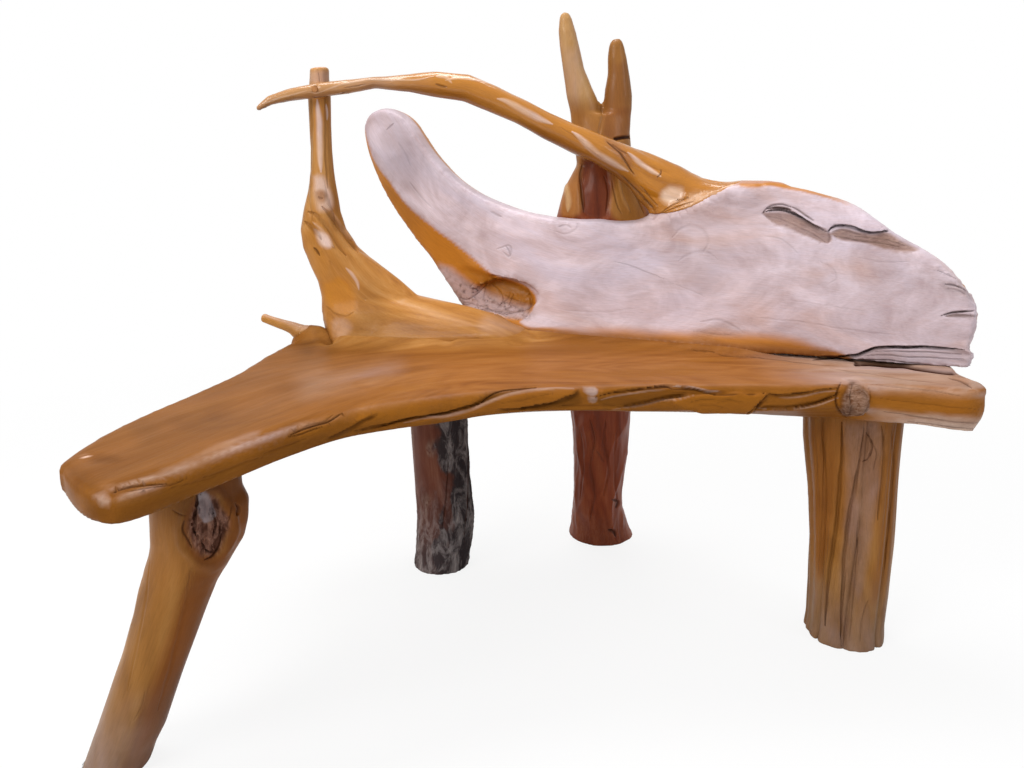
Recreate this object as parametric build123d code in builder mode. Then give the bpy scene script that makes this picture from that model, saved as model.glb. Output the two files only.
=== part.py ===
"""Rustic log bench: split-log seat on four limbs, sawn slab back, root post and arch branch.

Frame: millimetres, +X along the bench to the sitter's left (viewer's right), +Y to the back,
+Z up, origin on the floor under the middle of the bench's box.
"""

import math
import os

from build123d import *

# ---------------------------------------------------------------- driving dimensions
SEAT_HEIGHT = 450.0  # floor to the top of the seat
SEAT_THICKNESS = 60.0  # log thickness at its middle
LIP_THICKNESS = 32.0  # sawn edge that shows all round, above the half-round underside
SEAT_EDGE = 7.0  # eased edge round the top
KNOB_RADIUS = 34.0
KNOB_RISE = 16.0  # how far the knob stands above the seat
BURL_RADIUS = 26.0

BACK_ANGLE = 20.5  # the backrest's turn in plan, its right end nearer the front
BACK_LEAN = 10.0  # from upright
BACK_THICKNESS = 48.0
BACK_EDGE_DEPTH = 16.0  # of the rounded edge behind the sawn face
BACK_REAR_EDGE = 8.0
BACK_HOLLOW_DEPTH = 16.0

TENON_DIAMETER = 50.0
TENON_LENGTH = 30.0
JOINT_CLEARANCE = 0.3  # round tenons, dowels and screws in their holes

WEDGE_WIDTH = 40.0
WEDGE_LENGTH = 22.0
WEDGE_THICK_END = 5.0
WEDGE_THIN_END = 1.5
BACK_DOWEL_DIAMETER = 16.0
BACK_DOWEL_DEPTH = 32.0  # into each of the two pieces
POST_DOWEL_DIAMETER = 16.0
POST_DOWEL_DEPTH = 32.0
ARCH_DOWEL_DIAMETER = 12.0
ARCH_DOWEL_DEPTH = 24.0
ARCH_PIN_DIAMETER = 8.0
ARCH_PIN_DEPTH = 26.0  # into the post
PEG_DIAMETER = 13.0
PEG_SHANK_DIAMETER = 11.0
PEG_SHANK_LENGTH = 22.0
PEG_LENGTH = 66.0
PEG_ROUND = 4.0  # rounded end of the peg

LAG_DIAMETER = 10.0
LAG_HEAD_RADIUS = 9.0  # to the hexagon's corners
LAG_HEAD_HEIGHT = 7.0
LAG_TIP_LENGTH = 8.0
LAG_TIP_RADIUS = 1.0
SEAT_LAG_LENGTH = 112.0
BACK_LAG_LENGTH = 132.0
WASHER_DIAMETER = 30.0
WASHER_THICKNESS = 2.5
SPOT_CLEARANCE = 2.0  # round the washer, in the flat sunk into the trunk for it

RING_POINTS = 12  # points round a limb's section

# Seat plan, anticlockwise from the left end: x, y, and how far the underside draws in there.
SEAT_PLAN = [
    (-494, -367, 48), (-468, -398, 50), (-418, -432, 73), (-374, -379, 62), (-338, -318, 66),
    (-295, -252, 70), (-239, -194, 76), (-172, -162, 84), (-113, -136, 86), (-50, -114, 86),
    (54, -101, 86), (183, -100, 84), (290, -96, 66), (370, -90, 38), (425, -89, 14),
    (480, -98, 8), (524, -111, 8), (550, -104, 8), (558, -70, 8), (566, -10, 10),
    (572, 40, 12), (550, 82, 16), (480, 106, 22), (370, 142, 25), (262, 190, 25),
    (190, 250, 25), (105, 285, 25), (0, 300, 25), (-140, 322, 25), (-280, 312, 25),
    (-372, 262, 25), (-408, 170, 28), (-424, 67, 30), (-438, -50, 30), (-462, -150, 30),
    (-486, -250, 30),
]
KNOB_PLACE = (-384, 184)
BURL_PLACE = (396, -69)
PEG_PLACE = (-408, 184)
PEG_RISE = 12.0  # above the seat
PEG_DIRECTION = (-61, 3, 22)

# Backrest outline in its own face plane, anticlockwise from its foot at the left: along the
# bench, up the slab, and how far the sawn face draws in there from the live edge.
BACK_ORIGIN = (121, 158)  # foot of the face on the seat, in plan
BACK_OUTLINE = [
    (-180, -60, 20), (0, -75, 6), (240, -75, 6), (430, -60, 6), (474, -30, 6), (488, 15, 6),
    (494, 62, 6), (485, 97, 7), (459, 129, 7), (412, 163, 7), (369, 190, 6), (328, 220, 6),
    (272, 240, 6), (216, 250, 6), (126, 235, 6), (84, 211, 6), (34, 196, 6), (-54, 194, 6),
    (-148, 197, 6), (-229, 215, 6), (-299, 246, 6), (-351, 286, 6), (-391, 331, 6),
    (-417, 361, 6), (-444, 375, 6), (-474, 377, 6), (-497, 362, 6), (-501, 334, 6),
    (-484, 280, 12), (-452, 226, 24), (-417, 183, 34), (-375, 138, 44), (-340, 103, 50),
    (-303, 58, 54), (-255, 0, 50),
]
BACK_HOLLOW_PLACE = (-214, 62)
BACK_HOLLOW_SIZE = (64, 30)
BACK_DOWEL_PLACES = (-120, 90, 300)  # along the slab

# Limbs: centre x, y, height, half width in x, half depth in y.
FRONT_LEFT_LEG = [
    (-566, -252, 0.00, 35, 36), (-537, -252, 0.14, 38, 38), (-512, -252, 0.28, 38, 38),
    (-488, -252, 0.42, 38, 38), (-465, -252, 0.56, 39, 39), (-445, -252, 0.69, 42, 42),
    (-427, -252, 0.80, 51, 46), (-418, -252, 0.91, 55, 50), (-411, -252, 1.06, 50, 48),
]
FRONT_RIGHT_LEG = [
    (478, 28, 0.00, 58, 54), (476, 28, 0.20, 60, 55), (470, 28, 0.42, 62, 56),
    (461, 28, 0.64, 65, 58), (451, 28, 0.85, 70, 60), (445, 28, 1.06, 72, 62),
]
LEG_LOBES = 5  # fluted section of the right leg
LEG_LOBE_SHARE = 0.05
REAR_LEFT_LEG = [
    (-194, 257, 0.00, 49, 50), (-187, 257, 0.12, 53, 53), (-184, 257, 0.25, 54, 54),
    (-188, 257, 0.44, 51, 51), (-191, 257, 0.65, 51, 51), (-191, 257, 0.85, 53, 52),
    (-191, 257, 1.06, 55, 53),
]
REAR_TRUNK = [
    (122, 378, 0.000, 63, 60), (117, 368, 0.035, 57, 54), (110, 347, 0.090, 51, 50),
    (109, 337, 0.150, 50, 49), (110, 330, 0.220, 51, 50), (108, 320, 0.310, 54, 51),
    (105, 312, 0.400, 59, 53), (105, 306, 0.480, 66, 55), (104, 299, 0.570, 77, 58),
    (102, 296, 0.660, 84, 61), (101, 296, 0.730, 86, 60), (101, 296, 0.790, 84, 56),
    (95, 296, 0.850, 66, 50), (96, 296, 0.900, 47, 41), (91, 296, 0.945, 48, 34),
    (88, 296, 1.000, 45, 24),
]
TRUNK_HEIGHT = 806.0  # floor to the crotch of the fork
LEFT_PRONG = [
    (66, 296, 0.00, 26, 20), (65, 296, 0.18, 26, 20), (61, 296, 0.34, 25, 19),
    (51, 296, 0.47, 19, 17), (42, 296, 0.60, 15, 15), (36, 296, 0.74, 14, 14),
    (31, 296, 0.87, 12, 12), (28, 296, 0.96, 8, 8), (27, 296, 1.00, 4, 4),
]
LEFT_PRONG_LENGTH = 212.0
RIGHT_PRONG = [
    (112, 296, 0.00, 24, 20), (113, 296, 0.20, 24, 20), (114, 296, 0.38, 23, 19),
    (113, 296, 0.55, 20, 17), (113, 296, 0.70, 16, 15), (110, 296, 0.84, 14, 13),
    (108, 296, 0.95, 10, 10), (108, 296, 1.00, 5, 5),
]
RIGHT_PRONG_LENGTH = 172.0
PRONG_ROOT = 58.0  # how far the prongs start below the crotch
ROOT_POST = [
    (-197, 205, 0.00, 168, 64), (-210, 208, 0.05, 160, 54), (-248, 215, 0.10, 128, 44),
    (-297, 224, 0.15, 80, 40), (-315, 229, 0.21, 68, 39), (-337, 232, 0.27, 57, 39),
    (-361, 233, 0.34, 44, 38), (-371, 233, 0.41, 36, 34), (-371, 233, 0.48, 29, 29),
    (-368, 233, 0.55, 24, 25), (-366, 233, 0.63, 19, 20), (-365, 233, 0.71, 17, 18),
    (-365, 233, 0.80, 17, 18), (-364, 233, 0.90, 18, 18), (-360, 233, 1.00, 17, 17),
]
POST_HEIGHT = 421.0
POST_DOWEL_PLACES = ((-316, 222), (-230, 212), (-120, 204))
TENON_PLACES = {"front_left": (-412, -252), "front_right": (446, 28), "rear_left": (-191, 257)}

# Arch branch from its tip to its root on the backrest: x, y, height, half height, half depth.
# The heights are shares of the climb from the root to the crossing with the post.
ARCH = [
    (-451, 194, 0.812, 3, 4), (-431, 195, 0.896, 6, 6), (-401, 200, 0.955, 8, 9),
    (-359, 206, 1.000, 10, 11), (-317, 208, 1.032, 11, 11), (-271, 208, 1.071, 9, 11),
    (-217, 206, 1.065, 12, 13), (-178, 205, 1.052, 18, 17), (-130, 205, 1.019, 21, 20),
    (-90, 204, 0.922, 20, 20), (-46, 203, 0.792, 18, 19), (-8, 203, 0.669, 19, 20),
    (34, 203, 0.545, 20, 21), (76, 206, 0.429, 21, 22), (112, 213, 0.325, 25, 25),
    (140, 214, 0.234, 31, 26), (165, 208, 0.123, 38, 27), (190, 200, 0.045, 39, 27),
    (216, 192, 0.000, 33, 26), (244, 182, 0.000, 26, 23), (275, 170, 0.006, 17, 18),
    (310, 157, 0.032, 9, 13), (342, 146, 0.052, 5, 9),
]
ARCH_ROOT_RISE = 232.0  # seat top to the middle of the branch at its root
ARCH_CROSS_DROP = 35.0  # top of the post to the middle of the branch that crosses it
ARCH_PIN_PLACE = (-361, 194)  # front of the branch where it crosses the post
ARCH_CROSS_DEPTH = 22.0  # branch thickness there
ARCH_DOWEL_PLACES = ((42, 198), (92, 214))  # along and up the slab

# The trunk's screws: where each pair stands, and the flats under their washers.
TRUNK_SEAT_LAG_X = (82, 128)
TRUNK_BACK_LAG_X = (78, 128)
SEAT_LAG_DROP = 16.0  # below the top of the seat
BACK_LAG_RISE = 130.0  # above it
TRUNK_SPOT_Y = 341.0

# ---------------------------------------------------------------- planes and derived sizes
SEAT_UNDERSIDE = SEAT_HEIGHT - SEAT_THICKNESS
SEAT_PLANE = Plane.XY.offset(SEAT_HEIGHT)
ARCH_ROOT_HEIGHT = SEAT_HEIGHT + ARCH_ROOT_RISE
ARCH_CROSS_HEIGHT = SEAT_HEIGHT + POST_HEIGHT - ARCH_CROSS_DROP

turn = math.radians(BACK_ANGLE)
lean = math.radians(BACK_LEAN)
back_along = Vector(math.cos(turn), -math.sin(turn), 0)
back_normal_level = Vector(math.sin(turn), math.cos(turn), 0)
back_up = back_normal_level * math.sin(lean) + Vector(0, 0, 1) * math.cos(lean)
BACK_PLANE = Plane(
    origin=(*BACK_ORIGIN, SEAT_HEIGHT), x_dir=back_along, z_dir=back_along.cross(back_up)
)
BACK_MID_PLANE = BACK_PLANE.offset(-BACK_THICKNESS / 2)


def closed_outline(plane, points):
    """Face inside two smooth curves that meet at the first and the middle point of a ring."""
    half = len(points) // 2
    with BuildSketch(plane) as outline:
        with BuildLine():
            Spline(*points[: half + 1])
            Spline(*points[half:], points[0])
        make_face()
    return outline.sketch


def ring(plane, half_width, half_depth, lobes=0, lobe_share=0.0):
    """Closed section of a limb on a plane, with lobes of the given share of its size."""
    points = []
    for step in range(RING_POINTS):
        angle = 2 * math.pi * step / RING_POINTS
        swell = 1 + lobe_share * math.cos(lobes * angle)
        points.append((half_width * swell * math.cos(angle), half_depth * swell * math.sin(angle)))
    return closed_outline(plane, points)


def upright_limb(stations, base, height, lobes=0, lobe_share=0.0):
    """Solid through level rings, their heights given as shares of a height above a base."""
    sections = [
        ring(Plane((x, y, base + share * height)), width, depth, lobes, lobe_share)
        for x, y, share, width, depth in stations
    ]
    return loft(sections, ruled=True, mode=Mode.PRIVATE)


def lying_limb(stations, base, height):
    """Solid through rings square to the path of a branch that runs mostly along the bench."""
    path = [Vector(x, y, base + share * height) for x, y, share, *sizes in stations]
    sections = []
    for index, (x, y, share, half_height, half_depth) in enumerate(stations):
        run = path[min(index + 1, len(path) - 1)] - path[max(index - 1, 0)]
        across = Vector(0, 0, 1).cross(run)
        plane = Plane(origin=path[index], x_dir=across, z_dir=run)
        sections.append(ring(plane, half_depth, half_height))
    return loft(sections, ruled=True, mode=Mode.PRIVATE)


def drawn_in(plan):
    """Plan points moved inwards by their own third value, square to the outline."""
    points = []
    for index, (x, y, inset) in enumerate(plan):
        before = Vector(*plan[index - 1][:2])
        after = Vector(*plan[(index + 1) % len(plan)][:2])
        along = (after - before).normalized()
        points.append((x - along.Y * inset, y + along.X * inset))
    return points


def round_bar(plane, diameter, length, depth=0.0):
    """Bar that starts depth below a plane and is length long, along the plane's normal."""
    with BuildPart() as bar:
        with BuildSketch(plane.offset(-depth)):
            Circle(diameter / 2)
        extrude(amount=length)
    return bar.part


# ---------------------------------------------------------------- places of the joinery
def back_dowel_plane(along):
    """Plane across a dowel at the foot of the slab, its normal up the slab."""
    place = BACK_MID_PLANE.from_local_coords((along, 0, 0))
    return Plane(origin=place, x_dir=back_along, z_dir=back_up)


TENON_PLANES = {name: Plane((*place, SEAT_UNDERSIDE)) for name, place in TENON_PLACES.items()}
BACK_DOWEL_PLANES = [back_dowel_plane(along) for along in BACK_DOWEL_PLACES]
POST_DOWEL_PLANES = [Plane((*place, SEAT_HEIGHT)) for place in POST_DOWEL_PLACES]
ARCH_DOWEL_PLANES = [
    Plane(origin=BACK_MID_PLANE.from_local_coords((*place, 0)), x_dir=back_along, z_dir=back_up)
    for place in ARCH_DOWEL_PLACES
]
ARCH_PIN_PLANE = Plane(
    origin=(*ARCH_PIN_PLACE, ARCH_CROSS_HEIGHT), x_dir=(1, 0, 0), z_dir=(0, 1, 0)
)
PEG_PLANE = Plane(origin=(*PEG_PLACE, SEAT_HEIGHT + PEG_RISE), z_dir=PEG_DIRECTION)
SEAT_LAG_PLANES = [
    Plane(origin=(x, TRUNK_SPOT_Y, SEAT_HEIGHT - SEAT_LAG_DROP), x_dir=(1, 0, 0), z_dir=(0, -1, 0))
    for x in TRUNK_SEAT_LAG_X
]
BACK_LAG_PLANES = [
    Plane(origin=(x, TRUNK_SPOT_Y, SEAT_HEIGHT + BACK_LAG_RISE), x_dir=(1, 0, 0), z_dir=(0, -1, 0))
    for x in TRUNK_BACK_LAG_X
]


def holes(planes, diameter, length, depth=0.0):
    """Round holes for pins of a diameter, one on each plane, wider by the joint clearance."""
    width = diameter + 2 * JOINT_CLEARANCE
    return [round_bar(plane, width, length, depth) for plane in planes]


mortises = holes(TENON_PLANES.values(), TENON_DIAMETER, TENON_LENGTH + JOINT_CLEARANCE)
back_dowel_holes = holes(
    BACK_DOWEL_PLANES, BACK_DOWEL_DIAMETER, 2 * BACK_DOWEL_DEPTH, BACK_DOWEL_DEPTH
)
post_dowel_holes = holes(
    POST_DOWEL_PLANES, POST_DOWEL_DIAMETER, 2 * POST_DOWEL_DEPTH, POST_DOWEL_DEPTH
)
arch_dowel_holes = holes(
    ARCH_DOWEL_PLANES, ARCH_DOWEL_DIAMETER, 2 * ARCH_DOWEL_DEPTH, ARCH_DOWEL_DEPTH
)
arch_pin_hole = holes([ARCH_PIN_PLANE], ARCH_PIN_DIAMETER, ARCH_CROSS_DEPTH + ARCH_PIN_DEPTH)
seat_lag_holes = holes(SEAT_LAG_PLANES, LAG_DIAMETER, SEAT_LAG_LENGTH)
back_lag_holes = holes(BACK_LAG_PLANES, LAG_DIAMETER, BACK_LAG_LENGTH)
peg_hole = holes([PEG_PLANE], PEG_SHANK_DIAMETER, PEG_SHANK_LENGTH, PEG_SHANK_LENGTH)


def wedge_blanks():
    """Tapered wedges in the tops of the three round tenons, thick end up."""
    blanks = []
    for plane in TENON_PLANES.values():
        top = plane.offset(TENON_LENGTH)
        with BuildPart() as blank:
            with BuildSketch(top):
                Rectangle(WEDGE_THICK_END, WEDGE_WIDTH)
            with BuildSketch(top.offset(-WEDGE_LENGTH)):
                Rectangle(WEDGE_THIN_END, WEDGE_WIDTH)
            loft()
        blanks.append(blank.part)
    return blanks


# ---------------------------------------------------------------- seat log
seat_outline = [(x, y) for x, y, inset in SEAT_PLAN]
top_outline = drawn_in([(x, y, SEAT_EDGE) for x, y in seat_outline])

with BuildPart() as seat_blank:
    loft(
        [
            closed_outline(SEAT_PLANE, top_outline),
            closed_outline(SEAT_PLANE.offset(-SEAT_EDGE), seat_outline),
            closed_outline(SEAT_PLANE.offset(-LIP_THICKNESS), seat_outline),
            closed_outline(SEAT_PLANE.offset(-SEAT_THICKNESS), drawn_in(SEAT_PLAN)),
        ],
        ruled=True,
    )
    with Locations((*KNOB_PLACE, SEAT_HEIGHT + KNOB_RISE - KNOB_RADIUS)):
        Sphere(KNOB_RADIUS)
    with Locations((*BURL_PLACE, SEAT_HEIGHT - BURL_RADIUS)):
        Sphere(BURL_RADIUS)

with BuildPart() as seat_log:
    add(seat_blank.part)
    add(mortises + back_dowel_holes + post_dowel_holes, mode=Mode.SUBTRACT)
    add(seat_lag_holes + peg_hole, mode=Mode.SUBTRACT)
seat_log.part.label = "seat_log"

# ---------------------------------------------------------------- backrest slab
slab_outline = [(along, up) for along, up, inset in BACK_OUTLINE]
rear_outline = [(along, up, BACK_REAR_EDGE) for along, up in slab_outline]

with BuildPart() as slab_blank:
    loft(
        [
            closed_outline(BACK_PLANE, drawn_in(BACK_OUTLINE)),
            closed_outline(BACK_PLANE.offset(-BACK_EDGE_DEPTH), slab_outline),
            closed_outline(BACK_PLANE.offset(BACK_REAR_EDGE - BACK_THICKNESS), slab_outline),
            closed_outline(BACK_PLANE.offset(-BACK_THICKNESS), drawn_in(rear_outline)),
        ],
        ruled=True,
    )
    split(bisect_by=SEAT_PLANE, keep=Keep.TOP)

with BuildPart() as backrest_slab:
    add(slab_blank.part)
    with BuildSketch(BACK_PLANE):
        with Locations(BACK_HOLLOW_PLACE):
            Ellipse(*BACK_HOLLOW_SIZE)
    extrude(amount=-BACK_HOLLOW_DEPTH, mode=Mode.SUBTRACT)
    add(back_dowel_holes + arch_dowel_holes + back_lag_holes, mode=Mode.SUBTRACT)
backrest_slab.part.label = "backrest_slab"

# ---------------------------------------------------------------- root post and stub peg
with BuildPart() as post_blank:
    add(upright_limb(ROOT_POST, SEAT_HEIGHT, POST_HEIGHT))
    add(slab_blank.part, mode=Mode.SUBTRACT)

with BuildPart() as root_post:
    add(post_blank.part)
    add(seat_blank.part, mode=Mode.SUBTRACT)
    add(post_dowel_holes + arch_pin_hole, mode=Mode.SUBTRACT)
root_post.part.label = "root_post"

with BuildPart() as side_peg:
    with BuildSketch(PEG_PLANE.offset(-PEG_SHANK_LENGTH)):
        Circle(PEG_SHANK_DIAMETER / 2)
    extrude(amount=PEG_SHANK_LENGTH)
    with BuildSketch(PEG_PLANE):
        Circle(PEG_DIAMETER / 2)
    extrude(amount=PEG_LENGTH)
    fillet(side_peg.faces().sort_by(Axis(PEG_PLANE.origin, PEG_PLANE.z_dir))[-1].edges(), PEG_ROUND)
    add(seat_log.part, mode=Mode.SUBTRACT)
side_peg.part.label = "side_peg"

# ---------------------------------------------------------------- arch branch
with BuildPart() as arch_branch:
    add(lying_limb(ARCH, ARCH_ROOT_HEIGHT, ARCH_CROSS_HEIGHT - ARCH_ROOT_HEIGHT))
    add(slab_blank.part, mode=Mode.SUBTRACT)
    add(post_blank.part, mode=Mode.SUBTRACT)
    add(arch_dowel_holes + arch_pin_hole, mode=Mode.SUBTRACT)
arch_branch.part.label = "arch_branch"


# ---------------------------------------------------------------- legs
def leg(stations, place, lobes=0, lobe_share=0.0):
    """Leg scribed to the underside of the seat, with its round tenon and the wedge's slot."""
    with BuildPart() as body:
        add(upright_limb(stations, 0, SEAT_UNDERSIDE, lobes, lobe_share))
        add(seat_blank.part, mode=Mode.SUBTRACT)
        add(round_bar(TENON_PLANES[place], TENON_DIAMETER, TENON_LENGTH))
        add(wedge_blanks(), mode=Mode.SUBTRACT)
    return body


front_left_leg = leg(FRONT_LEFT_LEG, "front_left")
front_left_leg.part.label = "front_left_leg"
front_right_leg = leg(FRONT_RIGHT_LEG, "front_right", LEG_LOBES, LEG_LOBE_SHARE)
front_right_leg.part.label = "front_right_leg"
rear_left_leg = leg(REAR_LEFT_LEG, "rear_left")
rear_left_leg.part.label = "rear_left_leg"

with BuildPart() as tenon_wedges:
    add(wedge_blanks())
tenon_wedges.part.label = "tenon_wedges"

# ---------------------------------------------------------------- rear trunk with its fork
with BuildPart() as rear_trunk:
    add(upright_limb(REAR_TRUNK, 0, TRUNK_HEIGHT))
    add(upright_limb(LEFT_PRONG, TRUNK_HEIGHT - PRONG_ROOT, LEFT_PRONG_LENGTH))
    add(upright_limb(RIGHT_PRONG, TRUNK_HEIGHT - PRONG_ROOT, RIGHT_PRONG_LENGTH))
    add(seat_blank.part, mode=Mode.SUBTRACT)
    add(slab_blank.part, mode=Mode.SUBTRACT)
    spot_width = WASHER_DIAMETER + 2 * SPOT_CLEARANCE
    for spot_plane in SEAT_LAG_PLANES + BACK_LAG_PLANES:
        add(round_bar(spot_plane, spot_width, WASHER_DIAMETER, WASHER_DIAMETER), mode=Mode.SUBTRACT)
    add(seat_lag_holes + back_lag_holes, mode=Mode.SUBTRACT)
rear_trunk.part.label = "rear_trunk"


# ---------------------------------------------------------------- dowels, pins and screws
def lag_screw(plane, length):
    """Hexagon-headed wood screw whose washer lies on the plane."""
    with BuildPart() as screw:
        with BuildSketch(plane.offset(-WASHER_THICKNESS)):
            RegularPolygon(LAG_HEAD_RADIUS, 6)
        extrude(amount=-LAG_HEAD_HEIGHT)
        with BuildSketch(plane.offset(-WASHER_THICKNESS)):
            Circle(LAG_DIAMETER / 2)
        extrude(amount=length + WASHER_THICKNESS - LAG_TIP_LENGTH)
        tip = screw.faces().sort_by(Axis(plane.origin, plane.z_dir))[-1]
        chamfer(tip.edges(), LAG_TIP_LENGTH / 2, LAG_DIAMETER / 2 - LAG_TIP_RADIUS)
    return screw.part


def washer(plane):
    """Flat washer on the plane, on the side away from the hole."""
    with BuildPart() as disc:
        with BuildSketch(plane):
            Circle(WASHER_DIAMETER / 2)
            Circle(LAG_DIAMETER / 2 + JOINT_CLEARANCE, mode=Mode.SUBTRACT)
        extrude(amount=-WASHER_THICKNESS)
    return disc.part


with BuildPart() as backrest_dowels:
    for dowel_plane in BACK_DOWEL_PLANES:
        add(round_bar(dowel_plane, BACK_DOWEL_DIAMETER, 2 * BACK_DOWEL_DEPTH, BACK_DOWEL_DEPTH))
backrest_dowels.part.label = "backrest_dowels"

with BuildPart() as post_dowels:
    for dowel_plane in POST_DOWEL_PLANES:
        add(round_bar(dowel_plane, POST_DOWEL_DIAMETER, 2 * POST_DOWEL_DEPTH, POST_DOWEL_DEPTH))
post_dowels.part.label = "post_dowels"

with BuildPart() as arch_root_dowels:
    for dowel_plane in ARCH_DOWEL_PLANES:
        add(round_bar(dowel_plane, ARCH_DOWEL_DIAMETER, 2 * ARCH_DOWEL_DEPTH, ARCH_DOWEL_DEPTH))
arch_root_dowels.part.label = "arch_root_dowels"

with BuildPart() as arch_post_pin:
    add(round_bar(ARCH_PIN_PLANE, ARCH_PIN_DIAMETER, ARCH_CROSS_DEPTH + ARCH_PIN_DEPTH))
arch_post_pin.part.label = "arch_post_pin"

with BuildPart() as trunk_seat_lags:
    for lag_plane in SEAT_LAG_PLANES:
        add(lag_screw(lag_plane, SEAT_LAG_LENGTH))
trunk_seat_lags.part.label = "trunk_seat_lags"

with BuildPart() as trunk_back_lags:
    for lag_plane in BACK_LAG_PLANES:
        add(lag_screw(lag_plane, BACK_LAG_LENGTH))
trunk_back_lags.part.label = "trunk_back_lags"

with BuildPart() as trunk_seat_washers:
    for lag_plane in SEAT_LAG_PLANES:
        add(washer(lag_plane))
trunk_seat_washers.part.label = "trunk_seat_washers"

with BuildPart() as trunk_back_washers:
    for lag_plane in BACK_LAG_PLANES:
        add(washer(lag_plane))
trunk_back_washers.part.label = "trunk_back_washers"

# ---------------------------------------------------------------- export
os.makedirs("parts", exist_ok=True)
export_step(seat_log.part, "parts/seat_log.step")
export_step(backrest_slab.part, "parts/backrest_slab.step")
export_step(root_post.part, "parts/root_post.step")
export_step(side_peg.part, "parts/side_peg.step")
export_step(arch_branch.part, "parts/arch_branch.step")
export_step(front_left_leg.part, "parts/front_left_leg.step")
export_step(front_right_leg.part, "parts/front_right_leg.step")
export_step(rear_left_leg.part, "parts/rear_left_leg.step")
export_step(rear_trunk.part, "parts/rear_trunk.step")
export_step(tenon_wedges.part, "parts/tenon_wedges.step")
export_step(backrest_dowels.part, "parts/backrest_dowels.step")
export_step(post_dowels.part, "parts/post_dowels.step")
export_step(arch_root_dowels.part, "parts/arch_root_dowels.step")
export_step(arch_post_pin.part, "parts/arch_post_pin.step")
export_step(trunk_seat_lags.part, "parts/trunk_seat_lags.step")
export_step(trunk_seat_washers.part, "parts/trunk_seat_washers.step")
export_step(trunk_back_lags.part, "parts/trunk_back_lags.step")
export_step(trunk_back_washers.part, "parts/trunk_back_washers.step")
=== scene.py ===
"""Rustic log bench, dressed: carved and varnished wood, bark, knots, cracks and hardware.

Each piece of wood starts as a copy of its plain blank and is worked like the real one:
roughed out, eased, carved with its folds, knots and cracks, and then stained and varnished,
with painted light and shade laid into the stain.
Metres, +X along the bench, +Y to the back, +Z up.
"""

import itertools
import logging
import math
from dataclasses import dataclass, field
from enum import Enum

import bpy
import numpy as np
from mathutils.bvhtree import BVHTree
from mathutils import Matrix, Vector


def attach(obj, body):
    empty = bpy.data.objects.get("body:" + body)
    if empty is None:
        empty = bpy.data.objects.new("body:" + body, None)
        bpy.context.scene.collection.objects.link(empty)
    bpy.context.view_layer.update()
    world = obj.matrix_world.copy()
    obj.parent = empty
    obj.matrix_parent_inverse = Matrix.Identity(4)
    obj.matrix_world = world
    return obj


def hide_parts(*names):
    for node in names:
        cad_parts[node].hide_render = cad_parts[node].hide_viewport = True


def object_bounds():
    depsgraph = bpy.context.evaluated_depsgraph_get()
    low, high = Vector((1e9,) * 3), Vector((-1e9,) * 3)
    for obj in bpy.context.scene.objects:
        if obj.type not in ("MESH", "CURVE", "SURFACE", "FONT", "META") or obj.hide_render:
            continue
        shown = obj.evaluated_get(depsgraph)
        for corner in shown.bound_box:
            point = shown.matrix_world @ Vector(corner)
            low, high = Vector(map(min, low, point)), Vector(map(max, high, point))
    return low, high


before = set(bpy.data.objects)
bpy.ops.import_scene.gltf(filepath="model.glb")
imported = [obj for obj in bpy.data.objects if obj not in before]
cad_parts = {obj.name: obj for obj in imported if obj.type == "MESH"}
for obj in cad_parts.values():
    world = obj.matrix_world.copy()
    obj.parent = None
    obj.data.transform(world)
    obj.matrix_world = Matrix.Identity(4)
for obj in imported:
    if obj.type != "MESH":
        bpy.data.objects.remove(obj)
PLAIN_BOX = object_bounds()

LOG = logging.getLogger("log_bench")
SEAT_TOP = 0.450
NEAR_FLOOR = 0.02
Stain = tuple[int, int, int]  # as it looks, each share 0 to 255
Place = tuple[float, float, float]
Line = tuple[tuple[float, float], ...]
Socket = bpy.types.NodeSocket


# ---------------------------------------------------------------- measuring and noise
def linear(stain: Stain) -> tuple[float, float, float, float]:
    """A stain as a shader wants it: linear, with its fourth share."""
    shares = (value / 255 for value in stain)
    return (*(share / 12.92 if share <= 0.04045 else ((share + 0.055) / 1.055) ** 2.4
              for share in shares), 1.0)


def ease(low: float, high: float, value: np.ndarray) -> np.ndarray:
    """Smooth step from 0 at low to 1 at high."""
    share = np.clip((value - low) / (high - low), 0, 1)
    return share * share * (3 - 2 * share)


def bell(value: np.ndarray, middle: float, width: float) -> np.ndarray:
    """1 where a value meets the middle, fading to 0 a few widths away."""
    return np.exp(-(((value - middle) / width) ** 2))


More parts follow.
